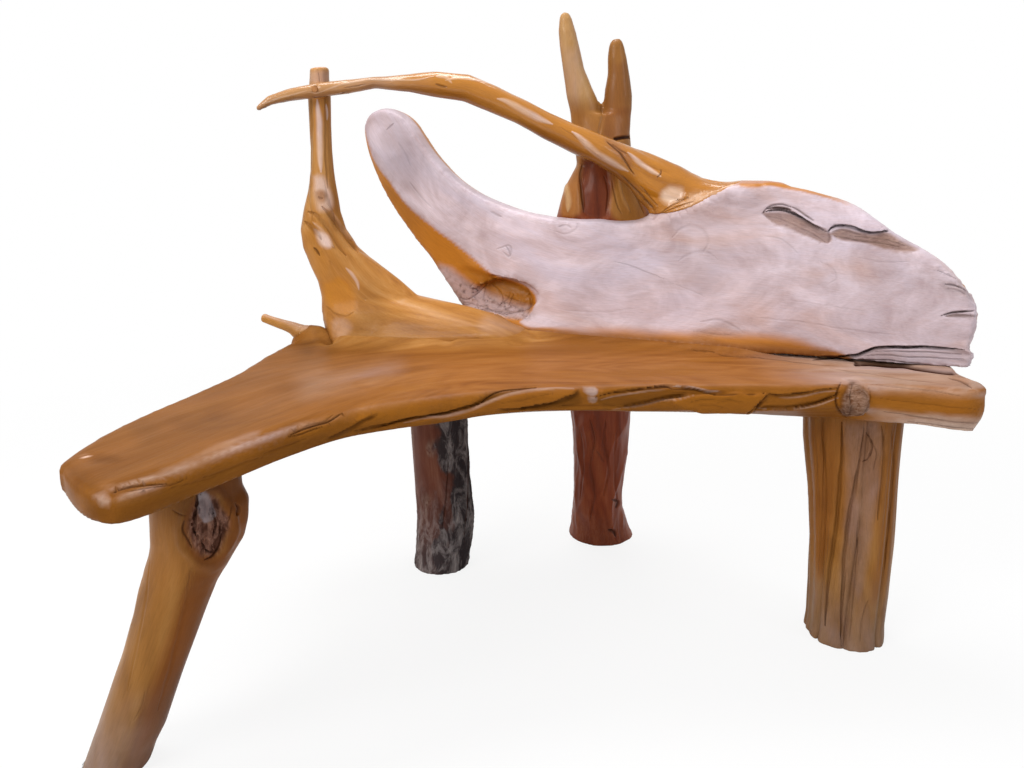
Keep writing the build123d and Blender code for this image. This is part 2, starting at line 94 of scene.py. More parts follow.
class Figure:
    """Repeatable smooth noise, for swells, dents and the wander of the grain."""

    def __init__(self, seed: int) -> None:
        """Lays out the lattice from a seed."""
        dice = np.random.default_rng(seed)
        order = dice.permutation(256)
        self.order = np.concatenate([order, order])
        slopes = dice.normal(size=(256, 3))
        self.slopes = slopes / np.linalg.norm(slopes, axis=1, keepdims=True)

    def at(self, points: np.ndarray) -> np.ndarray:
        """Noise from about -1 to 1 at each point, one swell per unit."""
        cell = np.floor(points).astype(int)
        part = points - cell
        fade = part**3 * (part * (part * 6 - 15) + 10)
        cell = cell & 255
        total = np.zeros(len(points))
        for corner in itertools.product((0, 1), repeat=3):
            along, across, up = ((cell[:, axis] + corner[axis]) & 255 for axis in range(3))
            index = self.order[self.order[self.order[along] + across] + up]
            lean = ((part - corner) * self.slopes[index]).sum(1)
            share = np.prod(np.where(np.array(corner) == 1, fade, 1 - fade), axis=1)
            total += share * lean
        return total * 1.6

    def layers(self, points: np.ndarray, count: int = 4) -> np.ndarray:
        """Noise in finer and finer layers, each half as strong as the one before."""
        return sum(self.at(points * 2**turn + 7.3 * turn) / 2**turn for turn in range(count))

    def ridges(self, points: np.ndarray, count: int = 3) -> np.ndarray:
        """Creased noise from 0 to 1, sharp along its crests."""
        total = sum(
            (1 - np.abs(self.at(points * 2**turn + 3.1 * turn))) ** 3 / 2**turn
            for turn in range(count)
        )
        return total / 1.75


def curve(path: Line | np.ndarray, steps: int = 6) -> np.ndarray:
    """Smooth line through the points of a path.

    Args:
        path: Points in two or three directions.
        steps: Pieces for each run of the path.

    Returns:
        The points of the smooth line.
    """
    knots = np.array(path, float)
    if len(knots) < 3:
        return knots
    ends = np.vstack([2 * knots[0] - knots[1], knots, 2 * knots[-1] - knots[-2]])
    share = np.linspace(0, 1, steps, endpoint=False)[:, None]
    runs = []
    for index in range(1, len(ends) - 2):
        a, b, c, d = ends[index - 1 : index + 3]
        runs.append(
            0.5 * (2 * b + (c - a) * share + (2 * a - 5 * b + 4 * c - d) * share**2
                   + (3 * b - a - 3 * c + d) * share**3)
        )
    return np.vstack([*runs, knots[-1:]])


def gap_to_line(places: np.ndarray, line: np.ndarray) -> tuple[np.ndarray, np.ndarray]:
    """Distance from each place to a line, and where along the line the nearest point is.

    Args:
        places: The places, in two or three directions.
        line: The points of the line.

    Returns:
        The distances, and the shares of the line's length from 0 to 1.
    """
    runs = np.linalg.norm(np.diff(line, axis=0), axis=1)
    marks = np.concatenate([[0], np.cumsum(runs)])
    best = np.full(len(places), 1e9)
    share = np.zeros(len(places))
    for index, run in enumerate(runs):
        step = line[index + 1] - line[index]
        part = np.clip((places - line[index]) @ step / max(run * run, 1e-12), 0, 1)
        gap = np.linalg.norm(places - line[index] - part[:, None] * step, axis=1)
        near = gap < best
        best[near] = gap[near]
        share[near] = (marks[index] + part[near] * run) / marks[-1]
    return best, share


def side_of_line(places: np.ndarray, line: np.ndarray) -> np.ndarray:
    """Distance to a line on the sheet, below 0 for places that lie below it."""
    gap = gap_to_line(places, line)[0]
    along = line[:, 0]
    order = np.argsort(along)
    level = np.interp(places[:, 0], along[order], line[order, 1])
    return np.where(places[:, 1] <= level, gap, -gap)


def inside(places: np.ndarray, rim: np.ndarray) -> np.ndarray:
    """Whether each place lies inside a closed rim."""
    held = np.zeros(len(places), bool)
    for (x0, y0), (x1, y1) in zip(rim, np.roll(rim, -1, axis=0)):
        spans = (y0 > places[:, 1]) != (y1 > places[:, 1])
        cross = (x1 - x0) * (places[:, 1] - y0) / (y1 - y0 + 1e-12) + x0
        held ^= spans & (places[:, 0] < cross)
    return held


def depth_inside(places: np.ndarray, rim: np.ndarray) -> np.ndarray:
    """Distance from each place to a closed rim, below 0 outside it."""
    gap = gap_to_line(places, rim)[0]
    return np.where(inside(places, rim), gap, -gap)


def touched(sheet: np.ndarray, facing: np.ndarray, line: np.ndarray, reach: float,
            least: float = 0.0) -> np.ndarray:
    """Which points a mark may touch.

    Args:
        sheet: The points on the sheet.
        facing: How far each is turned to the front.
        line: The mark's line or rim.
        reach: How far from it the mark goes.
        least: How far a point has to be turned to the front.

    Returns:
        The points' numbers.
    """
    box = np.all((sheet > line.min(0) - reach) & (sheet < line.max(0) + reach), axis=1)
    return np.nonzero(box & (facing > least))[0]


def column(rows: bpy.types.bpy_prop_collection, name: str, kind: type,
           width: int = 1) -> np.ndarray:
    """One property of every row of a mesh, end to end.

    Args:
        rows: The rows, such as the mesh's corners.
        name: The property.
        kind: The type of its numbers.
        width: How many numbers each row has.

    Returns:
        The numbers.
    """
    flat = np.empty(len(rows) * width, kind)
    rows.foreach_get(name, flat)
    return flat


def add_node(tree: bpy.types.NodeTree, kind: str, ins: dict | None = None,
             **sets: object) -> bpy.types.Node:
    """Adds a node to a tree.

    Args:
        tree: The tree.
        kind: The node's type.
        ins: What goes into each input: a socket to link, or a value.
        sets: The node's own settings.

    Returns:
        The node.
    """
    node = tree.nodes.new(kind)
    for key, value in sets.items():
        setattr(node, key, value)
    for key, value in (ins or {}).items():
        if isinstance(value, Socket):
            tree.links.new(value, node.inputs[key])
        else:
            node.inputs[key].default_value = value
    return node


@dataclass(frozen=True)
class Stand:
    """The spot in front of the bench that the marks on the wood are laid out from.

    Marks are given across and down a sheet 1024 wide and 768 high, seen from this spot.

    Args:
        place: Where the spot is.
        dip: How far the view is turned down, in degrees.
        reach: How far away the sheet stands, in its own units.
        middle: Where the view meets the sheet.
    """

    place: Place = (-0.060, -1.057, 0.727)
    dip: float = 16.0
    reach: float = 769.0
    middle: tuple[float, float] = (512.0, 384.0)

    def sheet(self, points: np.ndarray) -> np.ndarray:
        """Places on the sheet of points in space."""
        sine, cosine = math.sin(math.radians(self.dip)), math.cos(math.radians(self.dip))
        rel = points - np.array(self.place)
        away = rel[:, 1] * cosine - rel[:, 2] * sine
        down = -rel[:, 1] * sine - rel[:, 2] * cosine
        return np.stack(
            [self.middle[0] + self.reach * rel[:, 0] / away,
             self.middle[1] + self.reach * down / away], axis=1)

    def faces(self, points: np.ndarray, normals: np.ndarray) -> np.ndarray:
        """How far each point is turned towards the spot, 0 to 1."""
        rel = np.array(self.place) - points
        rel /= np.linalg.norm(rel, axis=1, keepdims=True)
        return ease(0.02, 0.22, (rel * normals).sum(1))


STAND = Stand()


@dataclass(frozen=True)
class Groove:
    """A cut, fold or ridge along a line of the sheet.

    Args:
        path: The line.
        half: Half its width on the sheet.
        depth: How deep it goes, in millimetres; less than 0 stands proud.
        dark: How black its bottom is.
        worn: How grey and dry it is.
        pale: How pale it is; along a ridge that stands proud, a painted highlight.
        blunt: Whether its ends stay as wide as its middle.
    """

    path: Line
    half: float = 1.6
    depth: float = 1.5
    dark: float = 0.8
    worn: float = 0.0
    pale: float = 0.0
    blunt: bool = False


@dataclass(frozen=True)
class Fold:
    """A lip of wood that laps over the wood beside it, along a line of the sheet, with a painted
    highlight on the lip and painted shade in the dip.

    Args:
        path: The line, from left to right.
        rise: How far the lip stands proud, in millimetres.
        wide: How far the lip's swell reaches on the sheet.
        sink: How deep the wood dips beside it, in millimetres.
        narrow: How far that dip reaches on the sheet.
        dark: How black the crease is.
        above: Whether the lip is on the upper side of the line.
        glow: How much lighter the lip is, as a painted highlight.
        shadow: How much darker the dip is.
    """

    path: Line
    rise: float = 2.5
    wide: float = 8.0
    sink: float = 3.0
    narrow: float = 4.0
    dark: float = 0.5
    above: bool = True
    glow: float = 0.16
    shadow: float = 0.22


@dataclass(frozen=True)
class Patch:
    """An area of the sheet inside a rim.

    Args:
        rim: The rim, closed by itself.
        soft: How far its edge fades, on the sheet.
        depth: How deep it is sunk, in millimetres.
        dark: How black it is.
        worn: How grey and dry it is.
        pale: How pale it is; in some patches a painted highlight.
        tone: How much lighter it is, or darker below 0; in many patches painted light and shade.
        gold: How golden it is.
        bark: How much bark it holds.
    """

    rim: Line
    soft: float = 3.0
    depth: float = 0.0
    dark: float = 0.0
    worn: float = 0.0
    pale: float = 0.0
    tone: float = 0.0
    gold: float = 0.0
    bark: float = 0.0


def read_marks(kind: type, table: str) -> tuple:
    """Marks read from a table with one mark to a row, whose further lines are set in.

    A row holds the points of the line or rim as x,y, a bar, and then the sizes: plain ones in
    the order of the mark's own fields, and others as name=size, where a size may be yes or no.

    Args:
        kind: Groove, Fold or Patch.
        table: The table.

    Returns:
        The marks, in the order of the rows.
    """
    def size(word: str) -> float | bool:
        """One size, or yes or no."""
        return word == "yes" if word in ("yes", "no") else float(word)

    marks = []
    for row in table.replace("\n  ", " ").strip().splitlines():
        points, words = (half.split() for half in row.split("|"))
        path = tuple(tuple(float(part) for part in point.split(",")) for point in points)
        plain = [size(word) for word in words if "=" not in word]
        named = dict(word.split("=") for word in words if "=" in word)
        marks.append(kind(path, *plain, **{name: size(word) for name, word in named.items()}))
    return tuple(marks)


class Mark(Enum):
    """The painted amounts that a piece carries for its finish; TONE also holds painted light and
    shade, and PALE painted highlights.
    """

    PALE = "pale"
    GOLD = "gold"
    WORN = "worn"
    BARK = "bark"
    DARK = "dark"
    TONE = "tone"
    KIN = "kin"


# ---------------------------------------------------------------- finishes
class Bench:
    """A short way to lay out the nodes of one material."""

    def __init__(self, name: str) -> None:
        """Starts an empty material with its shader."""
        self.material = bpy.data.materials.new(name)
        self.material.use_nodes = True
        self.tree = self.material.node_tree
        self.shader = self.tree.nodes["Principled BSDF"]

    def put(self, kind: str, ins: dict | None = None, **sets: object) -> bpy.types.Node:
        """Adds a node to the material, as add_node says."""
        return add_node(self.tree, kind, ins, **sets)

    def feed(self, name: str, value: Socket | float) -> None:
        """Links a socket to one of the shader's inputs, or sets its value."""
        if isinstance(value, Socket):
            self.tree.links.new(value, self.shader.inputs[name])
        else:
            self.shader.inputs[name].default_value = value

    def rise(self, height: Socket, distance: float) -> None:
        """Gives the shader its relief.

        Args:
            height: The relief, 0 to 1.
            distance: How high it is at 1, in metres.
        """
        bump = self.put("ShaderNodeBump", {"Height": height, "Distance": distance})
        self.feed("Normal", bump.outputs[0])

    def noise(self, where: Socket, scale: Place, detail: float = 4.0, rough: float = 0.55,
              bend: float = 0.0) -> Socket:
        """Noise stretched along the grain, 0 to 1."""
        spread = self.put("ShaderNodeMapping", {"Vector": where, "Scale": scale})
        return self.put(
            "ShaderNodeTexNoise",
            {"Vector": spread.outputs[0], "Scale": 1.0, "Detail": detail, "Roughness": rough,
             "Distortion": bend},
        ).outputs["Fac"]

    def span(self, value: Socket, low: float, high: float, start: float = 0.0,
             end: float = 1.0) -> Socket:
        """A value taken from one span to another, held within it."""
        return self.put(
            "ShaderNodeMapRange",
            {"Value": value, "From Min": low, "From Max": high, "To Min": start, "To Max": end},
        ).outputs[0]

    def sum(self, first: Socket, second: Socket | float, way: str = "ADD") -> Socket:
        """Two values joined by one sum."""
        return self.put("ShaderNodeMath", {0: first, 1: second}, operation=way).outputs[0]

    def times(self, first: Socket, second: Socket | float) -> Socket:
        """Two values multiplied."""
        return self.sum(first, second, "MULTIPLY")

    def mix(self, share: Socket | float, first: Socket | Stain, second: Socket | Stain,
            way: str = "MIX") -> Socket:
        """Two colours mixed."""
        ends = (linear(end) if isinstance(end, tuple) else end for end in (first, second))
        return self.put("ShaderNodeMix", dict(zip((0, 6, 7), (share, *ends))),
                        data_type="RGBA", blend_type=way).outputs[2]

    def grain(self, figure: Socket, dark: Stain, mid: Stain, light: Stain) -> Socket:
        """Wood coloured by its figure, from its darkest grain to its lightest."""
        ramp = self.put("ShaderNodeValToRGB", {"Fac": figure})
        stops = ramp.color_ramp.elements
        stops[0].position, stops[0].color = 0.28, linear(dark)
        stops[1].position, stops[1].color = 0.76, linear(light)
        stops.new(0.50).color = linear(mid)
        return ramp.outputs[0]

    def amount(self, mark: Mark) -> Socket:
        """A painted amount of the piece."""
        return self.put("ShaderNodeAttribute", attribute_name=mark.value).outputs["Fac"]


@dataclass(frozen=True)
class WoodFinish:
    """A stain, its grain and its varnish.

    Args:
        name: The material's name.
        deep: Darkest grain.
        mid: Most of the wood.
        light: Lightest grain.
        honey: Wood where it is golden.
        pale: Sawn pale wood, and its shaded part; on the seat, post, arch and trunk also the colour
            of painted highlights.
        dry: Dry knot wood, dark and light.
        rind: Bark, dark and light.
        kin: The neighbour's wood, where the two have grown together, dark to light.
        crack: Bottom of the cracks.
        bands: Broad grain bands to a metre, across the grain.
        fibres: Fine fibres to a metre, across the grain.
        stretch: How many times longer than wide the bands are.
        gloss: Roughness of the varnish.
        shine: How strongly the varnish itself reflects.
        coat: How much clear coat there is.
        coat_gloss: Roughness of that coat.
        relief: Height of the grain, in metres.
    """

    name: str
    deep: Stain
    mid: Stain
    light: Stain
    honey: Stain
    pale: tuple[Stain, Stain] = ((182, 158, 158), (226, 208, 214))
    dry: tuple[Stain, Stain] = ((92, 62, 50), (160, 132, 116))
    rind: tuple[Stain, Stain] = ((38, 33, 35), (140, 131, 131))
    kin: tuple[Stain, Stain, Stain] = (
        (112, 64, 28), (142, 88, 42), (164, 108, 60))
    crack: Stain = (52, 22, 8)
    bands: float = 26.0
    fibres: float = 420.0
    stretch: float = 9.0
    gloss: float = 0.34
    shine: float = 0.2
    coat: float = 0.12
    coat_gloss: float = 0.12
    relief: float = 0.0004

    def material(self) -> bpy.types.Material:
        """Lays out the whole material."""
        kit = Bench(self.name)
        grain = kit.put("ShaderNodeAttribute", attribute_name="grain").outputs["Vector"]
        bands = kit.noise(grain, (self.bands / self.stretch, self.bands, self.bands), 5, 0.6, 1.4)
        slow = kit.noise(grain, (self.bands / 14, self.bands / 4.5, self.bands / 4.5), 2, 0.5, 0.6)
        wave = kit.sum(kit.times(slow, 95.0), 0.0, "SINE")
        rings = kit.span(wave, -1, 1)
        fibre = kit.noise(grain, (self.fibres / 26, self.fibres, self.fibres), 3, 0.6, 0.3)
        pores = kit.noise(grain, (self.fibres / 9, self.fibres * 2.6, self.fibres * 2.6), 2, 0.5)
        figure = kit.sum(kit.times(bands, 0.74), kit.times(rings, 0.09))
        figure = kit.sum(figure, kit.times(fibre, 0.20))
        kin = kit.amount(Mark.KIN)
        wood = kit.mix(kin, kit.grain(figure, self.deep, self.mid, self.light),
                       kit.grain(figure, *self.kin))
        gold = kit.mix(kit.span(figure, 0.3, 0.72), kit.mix(0.35, self.honey, self.deep),
                       self.honey)
        wood = kit.mix(kit.amount(Mark.GOLD), wood, gold)
        cloud = kit.noise(grain, (9.0, 13.0, 13.0), 7, 0.58, 1.5)
        sawn = kit.mix(kit.span(cloud, 0.33, 0.67), self.pale[0], self.pale[1])
        cool = kit.noise(grain, (3.0, 9.0, 9.0), 3, 0.6, 1.2)
        sawn = kit.mix(kit.span(cool, 0.50, 0.70, 0.0, 0.5), sawn, (204, 196, 214))
        sawn = kit.mix(kit.span(cool, 0.46, 0.30, 0.0, 0.42), sawn, (206, 164, 144))
        sawn = kit.mix(kit.span(fibre, 0.46, 0.74, 0.0, 0.10), sawn, self.mid)
        # The pale mark mixes in pale wood, and on some pieces painted highlights.
        wood = kit.mix(kit.amount(Mark.PALE), wood, sawn)
        grit = kit.noise(grain, (90.0, 240.0, 240.0), 5, 0.65, 0.8)
        worn = kit.amount(Mark.WORN)
        wood = kit.mix(worn, wood, kit.mix(kit.span(grit, 0.36, 0.64), self.dry[0], self.dry[1]))
        flake = kit.noise(grain, (20.0, 48.0, 48.0), 7, 0.70, 0.7)
        bark = kit.amount(Mark.BARK)
        rind = kit.mix(kit.span(flake, 0.44, 0.66), self.rind[0], self.rind[1])
        wood = kit.mix(bark, wood, rind)
        tint = kit.span(pores, 0.3, 0.62, 0.88, 1.02)
        wood = kit.mix(1.0, wood, kit.mix(tint, (0, 0, 0), (255, 255, 255)), "MULTIPLY")
        # Tone multiplies the colour: the wood's own tone, and painted light and shade.
        tone = kit.span(kit.amount(Mark.TONE), -1, 1, 0.25, 1.75)
        wood = kit.mix(1.0, wood, kit.put("ShaderNodeCombineColor",
                                          {0: tone, 1: tone, 2: tone}).outputs[0], "MULTIPLY")
        dark = kit.amount(Mark.DARK)
        wood = kit.mix(dark, wood, self.crack)
        kit.feed("Base Color", wood)
        rough = kit.span(bands, 0.3, 0.7, self.gloss + 0.05, self.gloss - 0.04)
        for mark, dull in ((kin, 0.38 - self.gloss), (worn, 0.22), (bark, 0.38), (dark, 0.3)):
            rough = kit.sum(rough, kit.times(mark, dull))
        kit.feed("Roughness", rough)
        rise = kit.sum(kit.times(fibre, 0.55), kit.times(bands, 0.9))
        rise = kit.sum(rise, kit.times(kit.times(grit, worn), 3.0))
        rise = kit.sum(rise, kit.times(kit.times(flake, bark), 4.0))
        rise = kit.sum(rise, kit.times(dark, 1.6), "SUBTRACT")
        kit.rise(rise, self.relief)
        kit.feed("Specular IOR Level", self.shine)
        kit.feed("Coat Weight", self.coat)
        kit.feed("Coat Roughness", self.coat_gloss)
        return kit.material


# The seat's pale pair colours its pale right end, and also its painted highlights and sheen.
SEAT_FINISH = WoodFinish(
    "seat_varnish", (108, 60, 24), (140, 86, 38), (162, 106, 54),
    (146, 90, 26), pale=((172, 138, 118), (210, 184, 168)),
    kin=((132, 82, 36), (164, 110, 52), (186, 134, 76)), shine=0.04,
    coat=0.0, gloss=0.40, bands=22.0)
BACK_FINISH = WoodFinish(
    "pale_back_varnish", (142, 84, 30), (180, 112, 44), (202, 136, 62),
    (196, 126, 40), pale=((180, 158, 161), (218, 201, 209)),
    crack=(40, 26, 24), bands=20.0, stretch=6.0, gloss=0.36, coat=0.04, shine=0.12)
# The post's pale pair colours its painted highlights.
POST_FINISH = WoodFinish(
    "post_varnish", (144, 90, 42), (180, 124, 62), (202, 152, 94),
    (190, 126, 46), pale=((216, 180, 156), (236, 210, 198)),
    dry=((120, 74, 48), (168, 116, 84)),
    kin=((132, 82, 36), (164, 110, 52), (186, 134, 76)), bands=18.0,
    gloss=0.32, shine=0.08, coat=0.05)
# The arch's pale pair colours its painted highlights.
ARCH_FINISH = WoodFinish(
    "arch_varnish", (134, 80, 30), (170, 110, 44), (194, 136, 64),
    (184, 118, 32), pale=((218, 176, 138), (240, 214, 192)),
    dry=((112, 62, 34), (160, 98, 58)), bands=18.0, gloss=0.24, shine=0.25, coat=0.3)
LEG_FINISH = WoodFinish(
    "leg_varnish", (102, 62, 24), (139, 93, 40), (160, 115, 62),
    (138, 76, 20), pale=((120, 102, 92), (152, 136, 128)),
    dry=((92, 54, 42), (146, 106, 90)), bands=16.0,
    gloss=0.42, coat=0.03, shine=0.08)
BARK_FINISH = WoodFinish(
    "bark_leg", (72, 36, 24), (100, 54, 38), (132, 86, 66),
    (120, 72, 44), rind=((54, 46, 47), (148, 139, 137)), bands=26.0, gloss=0.48,
    coat=0.0, shine=0.1)
# The trunk's pale pair colours the painted highlights on its left prong and lobe.
TRUNK_FINISH = WoodFinish(
    "trunk_varnish", (92, 36, 16), (124, 55, 27), (150, 80, 45),
    (176, 122, 60), pale=((190, 154, 102), (222, 190, 142)), bands=20.0,
    gloss=0.38, coat=0.08, shine=0.12)


# ---------------------------------------------------------------- carving
@dataclass
class Carving:
    """A piece of wood worked up from the plain blank of its node.

    Args:
        node: The node that it stands for.
        slot: A name for the finish that it takes; not used.
        finish: The stain and varnish themselves.
        cell: Size of the working mesh.
        rounds: How often the roughed-out blank is eased without losing its size.
        spine: The line that the grain follows, as x,y,z in millimetres.
        side: A direction across the spine, which sets how the grain lies.
        seed: For its noise.
        grooves: Its cuts, cracks and ridges.
        folds: Its lips of wood.
        patches: Its areas of another tone, colour or depth.
        marks: Its painted amounts, filled while it is worked.
    """

    node: str
    slot: str
    finish: WoodFinish
    cell: float = 0.004
    rounds: int = 14
    spine: str = ""
    side: Place = (0.0, 1.0, 0.0)
    seed: int = 1
    grooves: tuple[Groove, ...] = ()
    folds: tuple[Fold, ...] = ()
    patches: tuple[Patch, ...] = ()
    marks: dict[Mark, np.ndarray] = field(default_factory=dict)

    @property
    def name(self) -> str:
        """The piece's own name."""
        return f"{self.node}_carved"

    @property
    def x(self) -> np.ndarray:
        """Places along X."""
        return self.co[:, 0]

    @property
    def y(self) -> np.ndarray:
        """Places along Y."""
        return self.co[:, 1]

    @property
    def z(self) -> np.ndarray:
        """Places along Z."""
        return self.co[:, 2]

    # -- the mesh
    def rough_out(self) -> None:
        """Copies the plain blank, closes it up into an even mesh and eases its facets."""
        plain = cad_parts[self.node]
        self.body = bpy.data.objects.new(self.name, plain.data.copy())
        bpy.context.scene.collection.objects.link(self.body)
        self.body.data.materials.clear()
        self.pick_up()
        bpy.ops.object.mode_set(mode="EDIT")
        bpy.ops.mesh.select_all(action="SELECT")
        bpy.ops.mesh.remove_doubles(threshold=0.00002)
        bpy.ops.object.mode_set(mode="OBJECT")
        even = self.body.modifiers.new("even", "REMESH")
        even.mode = "VOXEL"
        even.voxel_size = self.cell
        bpy.ops.object.modifier_apply(modifier=even.name)
        for _ in range(self.rounds):
            for factor in (0.5, -0.52):
                soft = self.body.modifiers.new("soft", "SMOOTH")
                soft.factor = factor
                soft.iterations = 3
                bpy.ops.object.modifier_apply(modifier=soft.name)
        self.figure = Figure(self.seed)
        self.read()

    def pick_up(self) -> None:
        """Makes the piece the one that the tools work on."""
        bpy.ops.object.select_all(action="DESELECT")
        self.body.select_set(True)
        bpy.context.view_layer.objects.active = self.body

    def read(self) -> None:
        """Takes the places and normals from the mesh."""
        mesh = self.body.data
        self.co = column(mesh.vertices, "co", np.float32, 3).reshape(-1, 3).astype(float)
        self.no = column(mesh.vertex_normals, "vector", np.float32, 3).reshape(
            -1, 3).astype(float)

    def write(self) -> None:
        """Puts the places back into the mesh."""
        self.body.data.vertices.foreach_set("co", self.co.astype(np.float32).ravel())
        self.body.data.update()
        self.read()

    def push(self, amount: np.ndarray) -> None:
        """Moves the skin out by an amount in metres, or in below 0."""
        self.co = self.co + self.no * amount[:, None]
        self.write()

    def refine(self, picked: np.ndarray) -> None:
        """Splits the faces whose every corner is picked into four."""
        self.pick_up()
        mesh = self.body.data
        corners = column(mesh.loops, "vertex_index", np.int32)
        starts = column(mesh.polygons, "loop_start", np.int32)
        chosen = np.minimum.reduceat(picked[corners].astype(np.int8), starts).astype(bool)
        mesh.polygons.foreach_set("select", chosen)
        picks = np.repeat(chosen, np.diff(np.append(starts, len(corners))))
        for rows, ends in ((mesh.edges, column(mesh.loops, "edge_index", np.int32)),
                           (mesh.vertices, corners)):
            held = np.zeros(len(rows), bool)
            held[ends[picks]] = True
            rows.foreach_set("select", held)
        bpy.ops.object.mode_set(mode="EDIT")
        bpy.ops.mesh.select_mode(type="FACE")
        bpy.ops.mesh.subdivide(number_cuts=1, smoothness=0.0, quadcorner="FAN")
        bpy.ops.object.mode_set(mode="OBJECT")
        self.read()

    def refine_marks(self, turns: int = 2) -> None:
        """Makes the mesh finer along the narrow marks."""
        for turn in range(turns):
            sheet, facing = STAND.sheet(self.co), self.facing()
            near = np.zeros(len(self.co), bool)
            for mark in (*self.grooves, *self.folds):
                line = curve(mark.path)
                half = mark.half if isinstance(mark, Groove) else mark.narrow * 0.6
                reach = half * 1.2 + (4.0 if turn == 0 else 1.9)
                index = touched(sheet, facing, line, reach, 0.05)
                gap = gap_to_line(sheet[index], line)[0]
                near[index[gap < reach]] = True
            if near.any():
                self.refine(near)

    # -- measuring
    def facing(self) -> np.ndarray:
        """How far each point is turned to the front."""
        return STAND.faces(self.co, self.no)

    def uneven_sheet(self, waves: float, shift: float, amount: float) -> np.ndarray:
        """The points on the sheet, moved about a little so that no mark runs ruler straight.

        Args:
            waves: Swings to a metre.
            shift: Sets the swing down the sheet apart from the one across it.
            amount: How far they swing, on the sheet.

        Returns:
            The moved points.
        """
        swing = [self.figure.at(self.co * waves + extra) for extra in (0, shift)]
        return STAND.sheet(self.co) + np.stack(swing, axis=1) * amount

    def follow_grain(self) -> np.ndarray:
        """Grain coordinates: along the spine, and across it in two directions."""
        stations = [station.split(",") for station in self.spine.split()]
        line = curve(np.array(stations, float) / 1000, 5)
        runs = np.linalg.norm(np.diff(line, axis=0), axis=1)
        marks = np.concatenate([[0], np.cumsum(runs)])
        along = np.gradient(line, axis=0)
        along /= np.linalg.norm(along, axis=1, keepdims=True)
        first = np.cross(np.array(self.side), along)
        first /= np.linalg.norm(first, axis=1, keepdims=True)
        second = np.cross(along, first)
        reach, left, right, total = np.zeros((4, len(self.co)))
        least = np.full(len(self.co), 1e9)
        for point in line:
            least = np.minimum(least, ((self.co - point) ** 2).sum(1))
        for index, point in enumerate(line):
            rel = self.co - point
            share = np.exp(-((rel**2).sum(1) - least) / 0.0016)
            total += share
            reach += share * (marks[index] + (rel * along[index]).sum(1))
            left += share * (rel * first[index]).sum(1)
            right += share * (rel * second[index]).sum(1)
        return np.stack([reach, left, right], axis=1) / total[:, None]

    def mark(self, kind: Mark) -> np.ndarray:
        """The painted amounts of one kind, made when first used."""
        if kind not in self.marks or len(self.marks[kind]) != len(self.co):
            self.marks[kind] = np.zeros(len(self.co))
        return self.marks[kind]

    def paint(self, kind: Mark, amount: np.ndarray) -> None:
        """Raises one kind of mark to at least an amount."""
        self.marks[kind] = np.maximum(self.mark(kind), np.clip(amount, 0, 1))

    def shade(self, amount: np.ndarray) -> None:
        """Makes the wood lighter, or darker below 0: its own tone, and painted light and shade."""
        self.marks[Mark.TONE] = np.clip(self.mark(Mark.TONE) + amount, -1, 1)

    # -- marks laid out on the sheet
    def cut_grooves(self) -> None:
        """Carves and darkens the grooves; a pale ridge that stands proud is a painted highlight."""
        sheet = self.uneven_sheet(36, 9, 0.8)
        facing = self.facing()
        sink = np.zeros(len(self.co))
        for groove in self.grooves:
            line = curve(groove.path)
            index = touched(sheet, facing, line, groove.half * 2 + 2)
            if not len(index):
                continue
            gap, share = gap_to_line(sheet[index], line)
            half = groove.half if groove.blunt else groove.half * np.clip(
                np.sqrt(np.sin(np.pi * np.clip(share, 0.0, 1.0))) * 1.1, 0.25, 1.0)
            cut = (1 - ease(0, 1.0, gap / half)) * facing[index]
            sink[index] = sink[index] - cut * groove.depth * 0.001
            for kind, amount in ((Mark.DARK, groove.dark), (Mark.WORN, groove.worn),
                                 (Mark.PALE, groove.pale)):
                if amount:
                    full = self.mark(kind)
                    full[index] = np.maximum(full[index], np.clip(cut * 1.25, 0, 1) * amount)
        self.push(sink)

    def lap_folds(self) -> None:
        """Swells each lip and sinks the crease beside it, with painted light on the lip and painted
        shade in the dip.
        """
        sheet = self.uneven_sheet(30, 9, 1.2)
        facing = self.facing()
        move = np.zeros(len(self.co))
        for fold in self.folds:
            line = curve(fold.path)
            index = touched(sheet, facing, line, max(fold.wide, fold.narrow) + 2)
            if not len(index):
                continue
            _, share = gap_to_line(sheet[index], line)
            side = side_of_line(sheet[index], line) * (1 if fold.above else -1)
            ends = np.clip(np.sin(np.pi * np.clip(share, 0.0, 1.0)) * 2.2, 0, 1)
            lip = np.exp(-np.clip(side, 0, None) / fold.wide * 2.2) * ease(-0.5, 0.9, side)
            dip = (1 - ease(0, fold.narrow, -side)) * (side < 0.5)
            held = facing[index] * ends
            move[index] += held * (lip * fold.rise - dip * fold.sink) * 0.001
            crease = np.clip(1 - np.abs(side + 0.8) / (fold.narrow * 0.55), 0, 1) * held
            full = self.mark(Mark.DARK)
            full[index] = np.maximum(full[index], crease * fold.dark)
            # Painted light on the lip and painted shade in the dip.
            self.mark(Mark.TONE)[index] += held * (lip * fold.glow - dip * fold.shadow)
        self.push(move)

